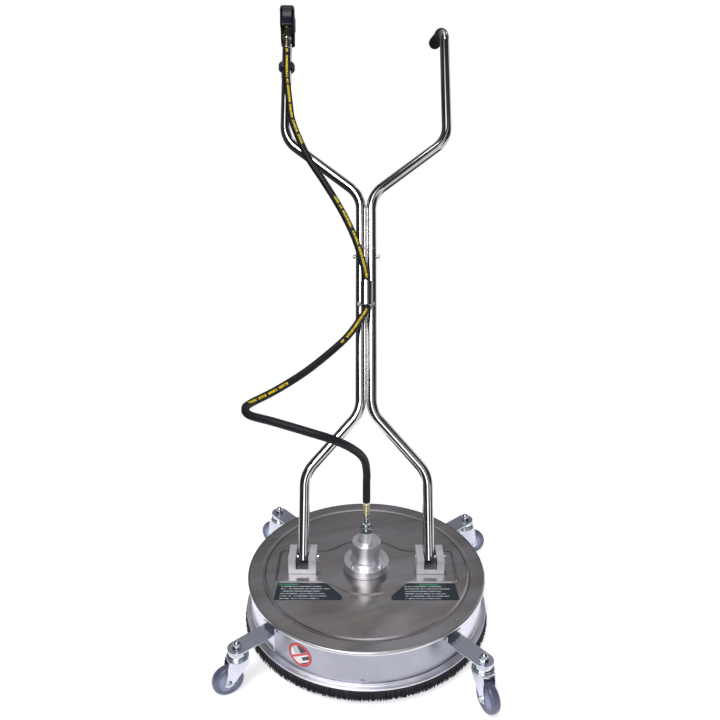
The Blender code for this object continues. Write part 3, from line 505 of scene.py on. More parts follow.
def label_look(mirror):
    """A dark panel with plain light rules and a green bar, and no lettering."""
    name = "label_right" if mirror else "label_left"
    look = Look(name, "plastic_black", Specular_IOR_Level=0.5)
    x, y, _ = look.split(look.place())
    navy = look.mix(look.spread(look.cloud(60.0)), (0.016, 0.022, 0.032), (0.030, 0.037, 0.050))
    first, last = (0.030, 0.128) if mirror else (0.012, 0.118)
    rule = look.times(y, 1 / 0.0078)
    shift = look.math("SINE", look.times(look.math("FLOOR", rule), 2.4))
    ragged = look.plus(x, look.times(shift, 0.012))
    grit = look.noise(look.place((420, 128, 0)), 1.0)
    ink = look.times(
        look.near(look.math("FRACT", rule), 0.5, 0.13), look.above(x, first), look.below(x, last),
        look.above(y, 0.008), look.below(y, 0.0525), look.below(ragged, last - 0.010),
        look.spread(grit, start=0.38, end=0.5),
    )
    middle = 0.083 if mirror else 0.027
    bar = look.times(look.near(x, middle, 0.021), look.above(y, 0.0025), look.below(y, 0.0075))
    colour = look.mix(bar, look.mix(ink, navy, (0.78, 0.82, 0.84)), (0.03, 0.26, 0.11))
    return look.surface(colour, look.spread(look.cloud(90.0), 0.30, 0.46))


def sticker_look():
    """A plain round notice: red ring and bar on white, over plain dark blocks."""
    look = Look("sticker_print", "plastic_black", Specular_IOR_Level=0.5)
    x, y, _ = look.split(look.place())
    radius = look.length(look.place())
    cloud = look.cloud(120.0)
    white = look.mix(look.spread(cloud), (0.80, 0.80, 0.80), (0.93, 0.93, 0.92))
    slant = look.plus(look.times(x, -0.53), look.times(y, 0.85))
    steep = look.plus(look.times(x, 0.88), look.times(y, 0.48))
    stripes = look.below(look.math("FRACT", look.times(steep, 6.0)), 0.34)
    stripes = look.times(stripes, look.above(steep, -0.34))
    upper = look.times(look.above(slant, 0.10), look.most(stripes, look.above(steep, 0.14)))
    block = look.times(look.near(slant, -0.36, 0.14), look.above(steep, 0.02))
    lower = look.times(look.below(slant, -0.12), look.most(block, look.below(slant, -0.66)))
    colour = look.mix(look.most(upper, lower), white, (0.030, 0.040, 0.055))
    red = look.most(look.near(slant, 0.0, 0.085), look.above(radius, 0.78))
    colour = look.mix(red, colour, (0.80, 0.035, 0.055))
    colour = look.mix(look.above(radius, 0.95), colour, (0.05, 0.055, 0.06))
    return look.surface(colour, look.spread(cloud, 0.28, 0.42))


def block_look():
    """Milled aluminium, with painted shade inside the slot that takes the tube: dull and dark
    there.
    """
    look = metal(
        "block_aluminium", "satin_aluminium", (0.80, 0.81, 0.85), (0.97, 0.98, 1.0),
        (0.40, 0.52), (1100, 30, 700), haze=30.0, depth=0.16, fine=0.45, Metallic=0.72,
    )
    milled = look.shader.inputs["Base Color"].links[0].from_socket
    x, _, z = look.split(look.node("TexCoord").outputs["Object"])
    edge = 0.0002
    # Painted shade: the inside of the slot gets a dark grey colour, as shade falling in the recess.
    slot_shade_mask = look.times(look.near(x, 0.0, BLOCK_SLOT + edge), look.above(z, BLOCK_FLOOR - edge))
    dull = look.mix(look.spread(look.cloud(160.0)), (0.20, 0.21, 0.235), (0.33, 0.34, 0.375))
    look.set(look.shader, Base_Color=look.mix(slot_shade_mask, milled, dull))
    return look


LOOKS["bristle"] = bristle_look()
LOOKS["block"] = block_look()


def make_world():
    """White to the camera. To the object: bright windows above and beside it, on near black."""
    world = bpy.data.worlds.new("studio")
    bpy.context.scene.world = world
    world.use_nodes = True
    world.node_tree.nodes.clear()
    sky = Nodes(world.node_tree)
    x, y, z = sky.split(sky.node("TexCoord").outputs["Generated"])

    def band(value, start, end, low=0.0, high=1.0):
        return sky.spread(value, low, high, start, end, {"interpolation_type": "SMOOTHSTEP"})

    def window(value, low, high, soft):
        return sky.times(band(value, low - soft, low + soft), band(value, high + soft, high - soft))

    key = sky.times(window(x, -0.30, 0.07, 0.03), window(z, 0.16, 0.80, 0.06))
    high = sky.times(window(x, -0.33, -0.07, 0.03), window(z, 0.74, 0.885, 0.03))
    high = sky.times(high, band(y, -0.28, -0.36))
    lights = (
        (2.3, sky.most(key, high), band(y, 0.42, 0.20)),
        (1.25, window(x, 0.62, 0.80, 0.03), window(z, 0.0, 0.40, 0.05)),
        (1.3, window(x, 0.42, 0.51, 0.02), window(z, 0.48, 0.78, 0.05)),
        (0.7, band(x, 0.45, 0.60), window(z, -0.50, -0.06, 0.05)),
        (
            1.3, window(z, 0.84, 1.5, 0.06), window(y, -0.26, 0.48, 0.08),
            window(x, -0.15, 0.15, 0.04),
        ),
        (
            1.0, band(y, 0.25, 0.60), band(z, 0.46, 0.74, 0.15, 0.52),
            band(sky.math("ABSOLUTE", x), 0.04, 0.20, 1.0, 0.50),
        ),
        (
            9.0, window(x, -0.10, 0.09, 0.03), window(y, -0.30, -0.13, 0.03),
            band(z, 0.90, 0.94),
        ),
    )
    light = sky.plus(sky.most(*[sky.times(*factors) for factors in lights]), 0.035)
    red, green, blue = (sky.times(light, share) for share in (0.97, 0.965, 1.03))
    tint = sky.node("CombineColor", Red=red, Green=green, Blue=blue).outputs[0]
    seen = sky.node("LightPath").outputs["Is Camera Ray"]
    shine = sky.node("Background", Color=sky.mix(seen, tint, (1, 1, 1)), Strength=1.0)
    sky.node("OutputWorld", Surface=shine.outputs[0])


def make_floor():
    """A pale disc that fades out at its edge."""
    bm = bmesh.new()
    bmesh.ops.create_circle(bm, cap_ends=True, segments=128, radius=1.3)
    mesh = bpy.data.meshes.new("floor")
    bm.to_mesh(mesh)
    bm.free()
    floor = bpy.data.objects.new("floor", mesh)
    floor.matrix_world = at(AXIS.x, AXIS.y, -0.0002)
    bpy.context.scene.collection.objects.link(floor)
    look = Look("floor_paint", "", Roughness=0.9, Specular_IOR_Level=0.05)
    colour = look.mix(look.spread(look.cloud(3.0)), (0.84, 0.84, 0.85), (0.87, 0.87, 0.88))
    look.set(look.shader, Base_Color=colour, Emission_Color=(1.0, 1.0, 1.0), Emission_Strength=0.60)
    fade = look.spread(look.length(look.node("TexCoord").outputs["Object"]), start=0.66, end=1.05)
    clear = look.node("BsdfTransparent").outputs[0]
    both = look.node("MixShader", _0=fade, _1=look.shader.outputs[0], _2=clear)
    look.set(look.tree.nodes["Material Output"], Surface=both.outputs[0])
    mesh.materials.append(look.material)


# ---------------------------------------------------------------- modelling helpers
HEX = True


def solid(points, faces):
    mesh = bpy.data.meshes.new("solid")
    mesh.from_pydata(np.asarray(points).reshape(-1, 3).tolist(), [], faces)
    bm = bmesh.new()
    bm.from_mesh(mesh)
    bpy.data.meshes.remove(mesh)
    return bm


def skin(rows, closed=False):
    """A mesh over rows of equal rings of points, with its ends capped or joined."""
    rows = np.asarray(rows, float)
    count, sides = rows.shape[:2]
    index = np.arange(count * sides).reshape(count, sides)
    lower = index if closed else index[:-1]
    upper = np.roll(index, -1, 0) if closed else index[1:]
    corners = [lower, np.roll(lower, -1, 1), np.roll(upper, -1, 1), upper]
    faces = np.stack(corners, -1).reshape(-1, 4).tolist()
    if not closed:
        faces += [index[0, ::-1].tolist(), index[-1].tolist()]
    bm = solid(rows, faces)
    bmesh.ops.recalc_face_normals(bm, faces=bm.faces)
    return bm


def eased(points, radius=0.0006, steps=3, closed=False):
    """A profile with each corner replaced by a small curve."""
    points = [np.array(p, float) for p in points]
    made = [] if closed else [points[0]]
    last = len(points) - (0 if closed else 1)
    for k in range(0 if closed else 1, last):
        before, corner, after = points[k - 1], points[k], points[(k + 1) % len(points)]
        back, on = before - corner, after - corner
        reach_back, reach_on = np.linalg.norm(back), np.linalg.norm(on)
        if reach_back < 1e-7 or reach_on < 1e-7:
            made.append(corner)
            continue
        a = corner + back / reach_back * min(radius, 0.45 * reach_back)
        b = corner + on / reach_on * min(radius, 0.45 * reach_on)
        for t in np.linspace(0, 1, steps + 1):
            made.append((1 - t) ** 2 * a + 2 * t * (1 - t) * corner + t * t * b)
    return made if closed else made + [points[-1]]


def turned(profile, sides=64, closed=False, ease=0.0006):
    """A profile of (radius, height) turned about Z. A closed profile makes a ring."""
    if ease:
        profile = eased(profile, ease, 3, closed)
    angles = np.arange(sides) * math.tau / sides
    rows = [[(r * math.cos(a), r * math.sin(a), z) for a in angles] for r, z in profile]
    return skin(rows, closed)


def rod(radius, low, high, sides=48, bore=None, ease=0.0006):
    """A round bar along Z, or a tube if it has a bore."""
    if bore:
        profile = [(radius, low), (radius, high), (bore, high), (bore, low)]
        return turned(profile, sides, True, ease)
    top = max(radius - 0.45 * radius, 0.0001)
    profile = [(top, low), (radius, low), (radius, high), (top, high)]
    return turned(profile, sides, ease=ease)


def nutted(rows, closed=False):
    """Rows of (radius, height) about Z, or of (radius, height, HEX) for a hexagon."""
    made = []
    for radius, z, *hexagon in rows:
        ring = []
        for k in range(48):
            a = math.tau * k / 48
            reach = radius
            if hexagon:
                reach /= math.cos((a + math.pi / 6) % (math.pi / 3) - math.pi / 6)
            ring.append((reach * math.cos(a), reach * math.sin(a), z))
        made.append(ring)
    return skin(made, closed)


def hex_head(flats, height):
    """A hexagon with chamfered corners, standing on z = 0. Flats are from its axis."""
    return nutted([
        (flats * 0.5, 0.0), (flats * 0.98, 0.0), (flats, 0.0004, HEX),
        (flats, height - 0.0006, HEX), (flats * 0.96, height), (flats * 0.5, height + 0.0002),
    ])


def cap_screw():
    """A round head with a hexagonal socket, standing on z = 0."""
    radius, height, socket = 0.0043, 0.0045, 0.0024
    return nutted([
        (radius * 0.5, 0.0), (radius, 0.0), (radius, height - 0.0005), (radius - 0.0005, height),
        (socket * 1.2, height), (socket, height - 0.0004, HEX), (socket, height - 0.0026, HEX),
        (socket * 0.4, height - 0.0030),
    ])


def pan_screw(radius, height):
    """A domed head with a cross slot, standing on z = 0."""
    dome = [(0.0006, 0.0), (radius, 0.0), (radius, height * 0.4)]
    for t in (0.5, 0.9, 1.25, 1.5):
        dome.append((radius * math.cos(t), height * (0.4 + 0.6 * math.sin(t))))
    long, wide = radius * 1.24, radius * 0.22
    slots = [box((a, b, height), (0, 0, height)) for a, b in ((long, wide), (wide, long))]
    return carved(turned(dome, 24, ease=0), slots)


def box(size, centre=(0, 0, 0)):
    bm = bmesh.new()
    bmesh.ops.create_cube(bm, size=1.0)
    bmesh.ops.scale(bm, vec=size, verts=bm.verts)
    bmesh.ops.translate(bm, vec=centre, verts=bm.verts)
    return bm


def prism(outline, low, high, across="z"):
    """An outline of (a, b) extruded across X, Y or Z."""
    place = {
        "x": lambda a, b, d: (d, a, b),
        "y": lambda a, b, d: (a, d, b),
        "z": lambda a, b, d: (a, b, d),
    }[across]
    return skin([[place(a, b, d) for a, b in outline] for d in (low, high)])


def pillow(outline, side, half, inner, radius, inset):
    """Half of a shell: an outline of (a, b) spread across X with its outer edge rounded."""
    steps = 7
    points = np.array(outline, float)
    area = sum(a[0] * b[1] - b[0] * a[1] for a, b in zip(points, np.roll(points, -1, 0)))
    if area < 0:
        points = points[::-1]
    on = np.roll(points, -1, 0) - points
    on /= np.linalg.norm(on, axis=1, keepdims=True)
    left = np.stack([-on[:, 1], on[:, 0]], 1)
    inward = left + np.roll(left, 1, 0)
    inward /= np.maximum((inward * left).sum(1, keepdims=True), 0.5)
    rows = [[(side * inner, a, b) for a, b in points]]
    for k in range(steps, -1, -1):
        t = math.pi / 2 * k / steps
        flat = points + inward * inset * (1 - math.sin(t))
        x = side * (half - radius + radius * math.cos(t))
        rows.append([(x, a, b) for a, b in flat])
    return skin(rows)


def arc(centre, radius, start, end, steps=5):
    angles = [math.radians(start + (end - start) * k / steps) for k in range(steps + 1)]
    a, b = centre
    return [(a + radius * math.cos(t), b + radius * math.sin(t)) for t in angles]


def rounded(corners, radius):
    """A path through corners, with each inner corner replaced by an arc."""
    steps = 14
    corners = [Vector(c) for c in corners]
    path = [corners[0]]
    for before, corner, after in zip(corners, corners[1:], corners[2:]):
        into = (corner - before).normalized()
        out = (after - corner).normalized()
        turn = into.angle(out)
        tangent = radius * math.tan(turn / 2)
        axis = into.cross(out).normalized()
        start = corner - into * tangent
        centre = start + axis.cross(into) * radius
        for k in range(steps + 1):
            spin = Matrix.Rotation(turn * k / steps, 3, axis)
            path.append(centre + spin @ (start - centre))
    path.append(corners[-1])
    return path


def sections(path, radius, sides, facing=None):
    """Rings of points round a path, without twist or turned to face one way."""
    count = len(path)
    rows = []
    side = None
    for k, centre in enumerate(path):
        direction = (path[min(k + 1, count - 1)] - path[max(k - 1, 0)]).normalized()
        side = Vector(facing) if facing else side or direction.orthogonal()
        side = (side - direction * side.dot(direction)).normalized()
        other = direction.cross(side)
        ring = []
        for j in range(sides):
            a = math.tau * j / sides
            ring.append(tuple(centre + (side * math.cos(a) + other * math.sin(a)) * radius))
        rows.append(ring)
    return rows


def swept(path, radius, sides=40, bore=None):
    """A round bar along a path, or a tube if it has a bore."""
    path = [Vector(p) for p in path]
    rows = sections(path, radius, sides)
    if not bore:
        return skin(rows)
    return skin(rows + sections(path, bore, sides)[::-1], True)


def joined(*shapes):
    """Several closed shapes in one mesh."""
    whole = bmesh.new()
    for shape in shapes:
        mesh = bpy.data.meshes.new("part")
        shape.to_mesh(mesh)
        shape.free()
        whole.from_mesh(mesh)
        bpy.data.meshes.remove(mesh)
    return whole


def moved(bm, matrix):
    bmesh.ops.transform(bm, matrix=matrix, verts=bm.verts)
    return bm


def carved(bm, cuts=(), bevel=0.0, steps=2, bevel_last=False, added=()):
    """The shape with its edges rounded, and other shapes added to it or cut from it."""
    scene = bpy.context.scene.collection

    def held(shape):
        mesh = bpy.data.meshes.new("work")
        shape.to_mesh(mesh)
        shape.free()
        made = bpy.data.objects.new("work", mesh)
        scene.objects.link(made)
        return made

    def round_edges():
        step = body.modifiers.new("edges", "BEVEL")
        step.width = bevel
        step.segments = steps
        step.limit_method = "ANGLE"
        step.angle_limit = math.radians(32)
        step.harden_normals = False

    body = held(bm)
    tools = [(held(shape), "UNION") for shape in added]
    tools += [(held(shape), "DIFFERENCE") for shape in cuts]
    if bevel and not bevel_last:
        round_edges()
    for tool, operation in tools:
        step = body.modifiers.new("cut", "BOOLEAN")
        step.operation = operation
        step.solver = "MANIFOLD"
        step.object = tool
    if bevel and bevel_last:
        round_edges()
    bpy.context.view_layer.update()
    graph = bpy.context.evaluated_depsgraph_get()
    made = bmesh.new()
    made.from_mesh(body.evaluated_get(graph).to_mesh())
    for spent in [body] + [tool for tool, _ in tools]:
        mesh = spent.data
        bpy.data.objects.remove(spent)
        bpy.data.meshes.remove(mesh)
    return made


def piece(name, bm, look, body, place=IDENTITY, replaces=(), sharp=38, slot=None, level=False):
    """One named piece riding on a body. A level piece keeps only its place, not its turn."""
    look = LOOKS[look] if isinstance(look, str) else look
    if level:
        moved(bm, place.to_3x3().to_4x4())
        place = Matrix.Translation(place.translation)
    mesh = bpy.data.meshes.new(name)
    bm.to_mesh(mesh)
    bm.free()
    mesh.shade_smooth()
    mesh.set_sharp_from_angle(angle=math.radians(sharp))
    mesh.materials.append(look.material)
    made = bpy.data.objects.new(name, mesh)
    bpy.context.scene.collection.objects.link(made)
    made.matrix_world = place
    if sharp < 45:
        made.modifiers.new("shading", "WEIGHTED_NORMAL").keep_sharp = True
    if body:
        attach(made, body)
    if replaces:
        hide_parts(*replaces)
    slot or look.slot
    return made


def write_places(mesh, places):
    """Stores where each vertex lies on a print, for Look.place."""
    layer = mesh.attributes.new("place", "FLOAT_VECTOR", "POINT")
    layer.data.foreach_set("vector", np.asarray(places, np.float32).ravel())


# ---------------------------------------------------------------- hose
ON_HANDLE = [
    (GUN_X, BARREL_Y, HOSE_END), (GUN_X, BARREL_Y, 1.235), (-0.2020, -0.031, 1.180),
    (-0.1950, -0.032, 1.121), (-0.1868, -0.032, 1.066), (-0.1670, -0.032, 1.011),
    (-0.1415, -0.031, 0.957), (-0.1075, -0.031, 0.903), (-0.0755, -0.030, 0.850),
    (-0.0480, -0.030, 0.798), (-0.0255, -0.029, 0.746), (-0.0100, -0.028, 0.695),
    (-0.0006, GUIDE_Y, 0.655), (0.0, GUIDE_Y, 0.642), (0.0, GUIDE_Y, 0.582),
    (-0.0004, GUIDE_Y, 0.572), (-0.0130, -0.031, 0.550),
]
ABOVE_RIM = [
    (-0.0500, 0.2180, 0.4740), (-0.1280, 0.1450, 0.4280), (-0.1960, 0.0820, 0.4030),
    (-0.2455, 0.0230, 0.3965), (-0.2500, -0.0190, 0.4030), (-0.2340, -0.0640, 0.4090),
    (-0.1850, -0.0930, 0.4090), (-0.1180, -0.1120, 0.3970), (-0.0640, -0.1080, 0.3760),
    (-0.0270, -0.0760, 0.3390), (-0.0060, -0.0340, 0.2940), (0.0, -0.0100, 0.2500),
    (0.0, 0.0010, 0.2200), (0.0, 0.0, 0.1950), (0.0, 0.0, FERRULE_TOP + GAP),
]
PRINT_FACING = (0.0, -0.80, 0.60)


def smooth_path(points, spacing):
    """Evenly spaced points on a smooth curve through the given ones, and its length."""
    ends = [points[0] * 2 - points[1], *points, points[-1] * 2 - points[-2]]
    fine = []
    for a, b, c, d in zip(ends, ends[1:], ends[2:], ends[3:]):
        for k in range(16):
            t = k / 16
            curve = 2 * b + (c - a) * t + (2 * a - 5 * b + 4 * c - d) * t * t
            fine.append(0.5 * (curve + (3 * b - a - 3 * c + d) * t * t * t))
    fine.append(points[-1])
    lengths = [0.0]
    for a, b in zip(fine, fine[1:]):
        lengths.append(lengths[-1] + (b - a).length)
    count = round(lengths[-1] / spacing)
    even, place = [], 0
    for k in range(count + 1):
        target = lengths[-1] * k / count
        while place < len(fine) - 2 and lengths[place + 1] < target:
            place += 1
        share = (target - lengths[place]) / (lengths[place + 1] - lengths[place])
        even.append(fine[place].lerp(fine[place + 1], share))
    return even, lengths[-1]


def make_hose():
    route = [HANDLE @ Vector(p) for p in ON_HANDLE] + [DECK @ Vector(p) for p in ABOVE_RIM]
    path, length = smooth_path(route, HOSE_STEP)
    sides = 28
    bm = skin(sections(path, HOSE_RADIUS, sides, PRINT_FACING))
    hose = piece("hose_tube", bm, hose_look(length), None, slot="rubber_black")
    angles = np.arange(sides) * math.tau / sides
    along = np.repeat(np.linspace(0, length, len(path)), sides)
    x = np.tile(HOSE_RADIUS * np.cos(angles), len(path))
    y = np.tile(HOSE_RADIUS * np.sin(angles), len(path))
    write_places(hose.data, np.stack([x, y, along], -1))
    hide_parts("hose")
    # The bend starts below the sleeve and slants past the loop, so that the hose clears
    # the tubes as the handle tilts.
    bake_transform(hose)
    tuple(route[0])


# ---------------------------------------------------------------- deck
def cover_height(x, y):
    """Height of the pressed lid over its flat top: plateau, wings and ring groove."""
    disc = np.hypot(x, y) - PLATEAU_RADIUS
    across = np.abs(x) - WING_REACH + WING_CORNER
    deep = np.abs(y) - WING_HALF + WING_CORNER
    wing = np.hypot(np.maximum(across, 0), np.maximum(deep, 0))
    wing += np.minimum(np.maximum(across, deep), 0) - WING_CORNER
    soft = 0.020  # how far the disc and the wings blend
    share = np.clip(0.5 + 0.5 * (disc - wing) / soft, 0, 1)
    edge = disc * (1 - share) + wing * share - soft * share * (1 - share)
    rise = np.clip(0.5 - edge / PLATEAU_SLOPE, 0, 1)
    rise = rise * rise * (3 - 2 * rise)
    groove = np.clip(1 - np.abs(np.hypot(x, y) - GROOVE_RADIUS) / GROOVE_HALF, 0, 1)
    return PLATEAU_HEIGHT * rise - GROOVE_DEPTH * (0.5 - 0.5 * np.cos(math.pi * groove))


def make_cover():
    """The lid as one sheet: its top, the rolled rim and its underside."""
    sides = 600
    angles = np.arange(sides) * math.tau / sides
    cos, sin = np.cos(angles), np.sin(angles)
    rows = []

    def ring(radius, drop):
        x, y = radius * cos, radius * sin
        rows.append(np.stack([x, y, cover_height(x, y) + drop], -1))

    for radius in np.linspace(COVER_BORE, 0.262, 106):
        ring(radius, 0.0)
    for t in np.radians(np.linspace(90, -80, 12)):
        ring(RIM_RADIUS - BEAD + BEAD * math.cos(t), -BEAD + BEAD * math.sin(t))
    ring(RIM_RADIUS - BEAD, -2 * BEAD)
    ring(RIM_RADIUS - BEAD - 0.0012, -0.0075)
    ring(RIM_RADIUS - 0.0042, -SHEET - 0.002)
    for radius in np.linspace(0.2625, COVER_BORE, 40):
        ring(radius, -SHEET)
    bm = skin(rows, True)
    layer = bm.loops.layers.uv.new("grain")
    c, s = math.cos(DECK_GRAIN), math.sin(DECK_GRAIN)
    for face in bm.faces:
        for loop in face.loops:
            x, y, _ = loop.vert.co
            loop[layer].uv = (c * x - s * y, s * x + c * y)
    piece("lid_sheet", bm, "deck", "deck", DECK, ["deck_cover"], sharp=60)
    bead = []
    for t in np.radians(range(70, -100, -10)):
        bead.append((RIM_RADIUS - 0.0032 + 0.0035 * math.cos(t), -0.0042 + 0.0042 * math.sin(t)))
    inner = [(r - 0.0004, z) for r, z in reversed(bead)]
    piece("lid_bead", turned(bead + inner, 200, True, ease=0), "rim", "deck", DECK)


def bent_strip(radius, low, high, start, end, thickness, steps=120):
    """A strip of sheet bent round the deck's axis, angles in degrees from the front."""
    rows = []
    for k in range(steps + 1):
        a = math.radians(-90 + start + (end - start) * k / steps)
        c, s = math.cos(a), math.sin(a)
        outer = radius + thickness
        section = [(radius, low), (outer, low), (outer, high), (radius, high)]
        rows.append([(r * c, r * s, z) for r, z in eased(section, 0.0002, 1, True)])
    return skin(rows)


def make_wall():
    top = -SHEET - GAP
    shape = rod(WALL_RADIUS, -WALL_HEIGHT, top, 240, WALL_RADIUS - SHEET)
    piece("wall_band", shape, "wall", "deck", DECK, ["side_band"])
    low = RING_LOW + RING_HEIGHT - 0.002
    strip = bent_strip(WALL_RADIUS + 0.00005, low, -0.0095, -PANEL_SPAN, PANEL_SPAN, 0.00035)
    piece("front_panel", strip, "panel", "deck", DECK)
    for name, side in SIDES.items():
        ends = sorted((side * PANEL_SPAN, side * (PANEL_SPAN - 0.75)))
        hem = bent_strip(WALL_RADIUS + 0.0004, low, -0.0275, *ends, 0.0008, 4)
        piece("panel_hem_" + name, hem, "ring", "deck", DECK)


def make_skirt():
    inner = WALL_RADIUS + GAP + 0.0004
    low, high = RING_LOW, RING_LOW + RING_HEIGHT
    profile = [
        (inner, low), (inner, high), (inner + 0.0024, high), (inner + 0.0024, high - 0.0014),
        (inner + 0.0015, high - 0.0020), (inner + 0.0015, low + 0.0048),
        (inner + 0.0030, low + 0.0036), (RING_RADIUS - 0.0012, low + 0.0032),
        (RING_RADIUS, low + 0.0022), (RING_RADIUS, low),
    ]
    shape = turned(profile, 240, True, 0.0005)
    piece("skirt_angle", shape, "ring", "deck", DECK, ["skirt_ring"])
    screws = []
    for angle in SCREW_ANGLES:
        facing = spun(angle - 90) @ at(WALL_RADIUS + 0.00045, 0, high + 0.0042) @ ALONG_X
        screws.append(moved(rod(0.0042, 0.0, 0.0008, 24, ease=0.0002), facing))
        screws.append(moved(pan_screw(0.0033, 0.0026), facing @ at(0, 0, 0.0008)))
    piece("skirt_screws", joined(*screws), "steel", "deck", DECK)
    top = low - GAP
    bottom = BRUSH_BOTTOM - RIM_Z
    backing = [
        (BRUSH_INNER, top), (BRUSH_INNER, bottom + 0.003), (BRUSH_INNER + 0.0082, bottom + 0.0026),
        (BRUSH_INNER + 0.0068, top - 0.010), (BRUSH_INNER + 0.0062, top),
    ]
    piece("brush_back", turned(backing, 200, True, 0), "bristle", "deck", DECK)
    piece("brush_tufts", bristles(top, bottom), "bristle", "deck", DECK, ["brush_skirt"], 80)


def bristles(top, bottom):
    """Three staggered rows of tufts, each a bundle of leaning strands."""
    rng = np.random.default_rng(11)
    places = []
    for row, (high_radius, low_radius) in enumerate(TUFT_ROWS):
        angle = (np.arange(TUFTS) + row / 3) * math.tau / TUFTS
        lean = rng.normal(0, 0.003, TUFTS)
        drop = rng.uniform(0, 0.0012, TUFTS)
        splay = rng.normal(0, 0.0006, TUFTS)
        for _ in range(STRANDS):
            a = angle + rng.uniform(-0.0035, 0.0035, TUFTS)
            b = a + lean + rng.normal(0, 0.0042, TUFTS)
            r1 = high_radius + rng.uniform(-0.0008, 0.0010, TUFTS)
            r2 = low_radius + splay + rng.normal(0, 0.0008, TUFTS)
            r2 = np.clip(r2, BRUSH_INNER + 0.0007, BRUSH_OUTER - 0.0008)
            end = bottom + 0.0003 + drop + rng.uniform(0, 0.0014, TUFTS)
            places.append(np.stack([a, b, r1, r2, end], -1))
    a, b, r1, r2, end = np.concatenate(places).T
    rings = []
    for share in (0.0, 0.35, 0.7, 1.0):
        turn = a + (b - a) * share**1.5
        radius = r1 + (r2 - r1) * share**1.4
        z = top - 0.0005 + (end - top + 0.0005) * share
        reach = STRAND_RADIUS * (1.0 if share < 1 else 0.6)
        corners = []
        for t in (0, math.tau / 3, math.tau * 2 / 3):
            rr = radius + reach * math.cos(t)
            aa = turn + reach * math.sin(t) / radius
            corners.append(np.stack([rr * np.cos(aa), rr * np.sin(aa), z], -1))
        rings.append(np.stack(corners, 1))
    points = np.stack(rings, 1)
    base = np.arange(len(points))[:, None] * 12
    faces = []
    for low in (0, 3, 6):
        for k in range(3):
            j = (k + 1) % 3
            faces += (base + np.array([low + k, low + 3 + k, low + 3 + j, low + j])).tolist()
    for cap in ([0, 1, 2], [11, 10, 9]):
        faces += (base + np.array(cap)).tolist()
    return solid(points, faces)


def make_labels():
    corners = [
        (-0.1950, LABEL_TOP), (-LABEL_CORNER, LABEL_TOP), (-LABEL_INNER, LABEL_SLANT),
        (-LABEL_INNER, LABEL_BOTTOM), (-LABEL_OUTER, LABEL_BOTTOM),
    ]
    for name, side, first in (("left", 1, -LABEL_OUTER), ("right", -1, LABEL_INNER)):
        outline = eased([(side * x, y) for x, y in corners], 0.0018, 4, True)
        shape = prism(outline, 0.00005, 0.00035)
        bmesh.ops.triangulate(shape, faces=[f for f in shape.faces if len(f.verts) > 4])
        label = piece("data_label_" + name, shape, label_look(side < 0), "deck", DECK)
        vertices = label.data.vertices
        write_places(label.data, [(v.co.x - first, LABEL_TOP - v.co.y, 0.0) for v in vertices])
    radius = WALL_RADIUS + 0.0004
    rows, places = [], []
    for lift, ends in ((0.0, (1.0, 0.02)), (0.00025, (0.02, 1.0))):
        for share in np.linspace(*ends, 14):
            reach = radius + (lift if share < 1 else 0.6 * lift)
            row = []
            for t in np.arange(72) * math.tau / 72:
                u, v = share * math.cos(t), share * math.sin(t)
                a = STICKER_ANGLE + u * STICKER_RADIUS / radius
                z = STICKER_Z + v * STICKER_RADIUS
                row.append((reach * math.cos(a), reach * math.sin(a), z))
                places.append((u, v, 0.0))
            rows.append(row)
    sticker = piece("round_sticker", skin(rows), sticker_look(), "deck", DECK)
    write_places(sticker.data, places)


# ---------------------------------------------------------------- legs and casters
def leg_shape():
    """A flat bar bent up against the wall, with a half-round outer end."""
    thick, half = 0.0044, LEG_WIDTH / 2
    inner = WALL_RADIUS + 0.0005 + thick / 2
    level = LEG_TOP - thick / 2
    bend = 0.0042
    path = [(inner, RIM_Z - 0.0102, half), (inner, level + bend, half)]
    for k in range(1, 7):
        t = math.radians(90 * k / 7)
        path.append((inner + bend - bend * math.cos(t), level + bend - bend * math.sin(t), half))
    path.append((inner + bend, level, half))
    path.append((STEM_CIRCLE - 0.012, level, half))
    for k in range(19):
        t = math.radians(90 * k / 18 * 0.985)
        path.append((STEM_CIRCLE + half * math.sin(t), level, half * math.cos(t)))
    rows = []
    for k, (x, z, wide) in enumerate(path):
        x0, z0, _ = path[max(k - 1, 0)]
        x1, z1, _ = path[min(k + 1, len(path) - 1)]
        reach = math.hypot(x1 - x0, z1 - z0)
        nx, nz = -(z1 - z0) / reach, (x1 - x0) / reach
        if k == 0:
            nx, nz = 1.0, 0.0
        soft = min(0.0008, 0.4 * wide)
        section = [
            (wide - soft, -thick / 2), (wide, -thick / 2 + soft), (wide, thick / 2 - soft),
            (wide - soft, thick / 2), (soft - wide, thick / 2), (-wide, thick / 2 - soft),
            (-wide, soft - thick / 2), (soft - wide, -thick / 2),
        ]
        rows.append([(x + nx * b, a, z + nz * b) for a, b in section])
    return skin(rows)


def fork_shape():
    """A folded plate: a level top and two cheeks that narrow to the axle."""
    inside, outside = WHEEL_HALF + 0.0015, WHEEL_HALF + 0.0035
    under = FORK_TOP - 0.003
    outline = [(-0.0185, FORK_TOP - 0.0006), (-0.0200, under - 0.008), (-0.0150, under - 0.017)]
    outline += arc((TRAIL, WHEEL_RADIUS), 0.0088, 205, 345, 16)
    outline += [(0.0262, under - 0.026), (0.0245, under - 0.010), (0.0205, FORK_TOP - 0.0006)]
    well = box((0.12, 2 * inside, under), (0.0, 0, under / 2))
    window = moved(rod(0.0034, -0.03, 0.03, 20, ease=0), at(TRAIL, 0, WHEEL_RADIUS) @ ALONG_Y)
    shape = prism(outline, -outside, outside, "y")
    return carved(shape, [well, window], 0.0007, 2, True)


def mirrored(side):
    """A profile and its mirror image below z = 0."""
    return side + [(r, -z) for r, z in reversed(side)]


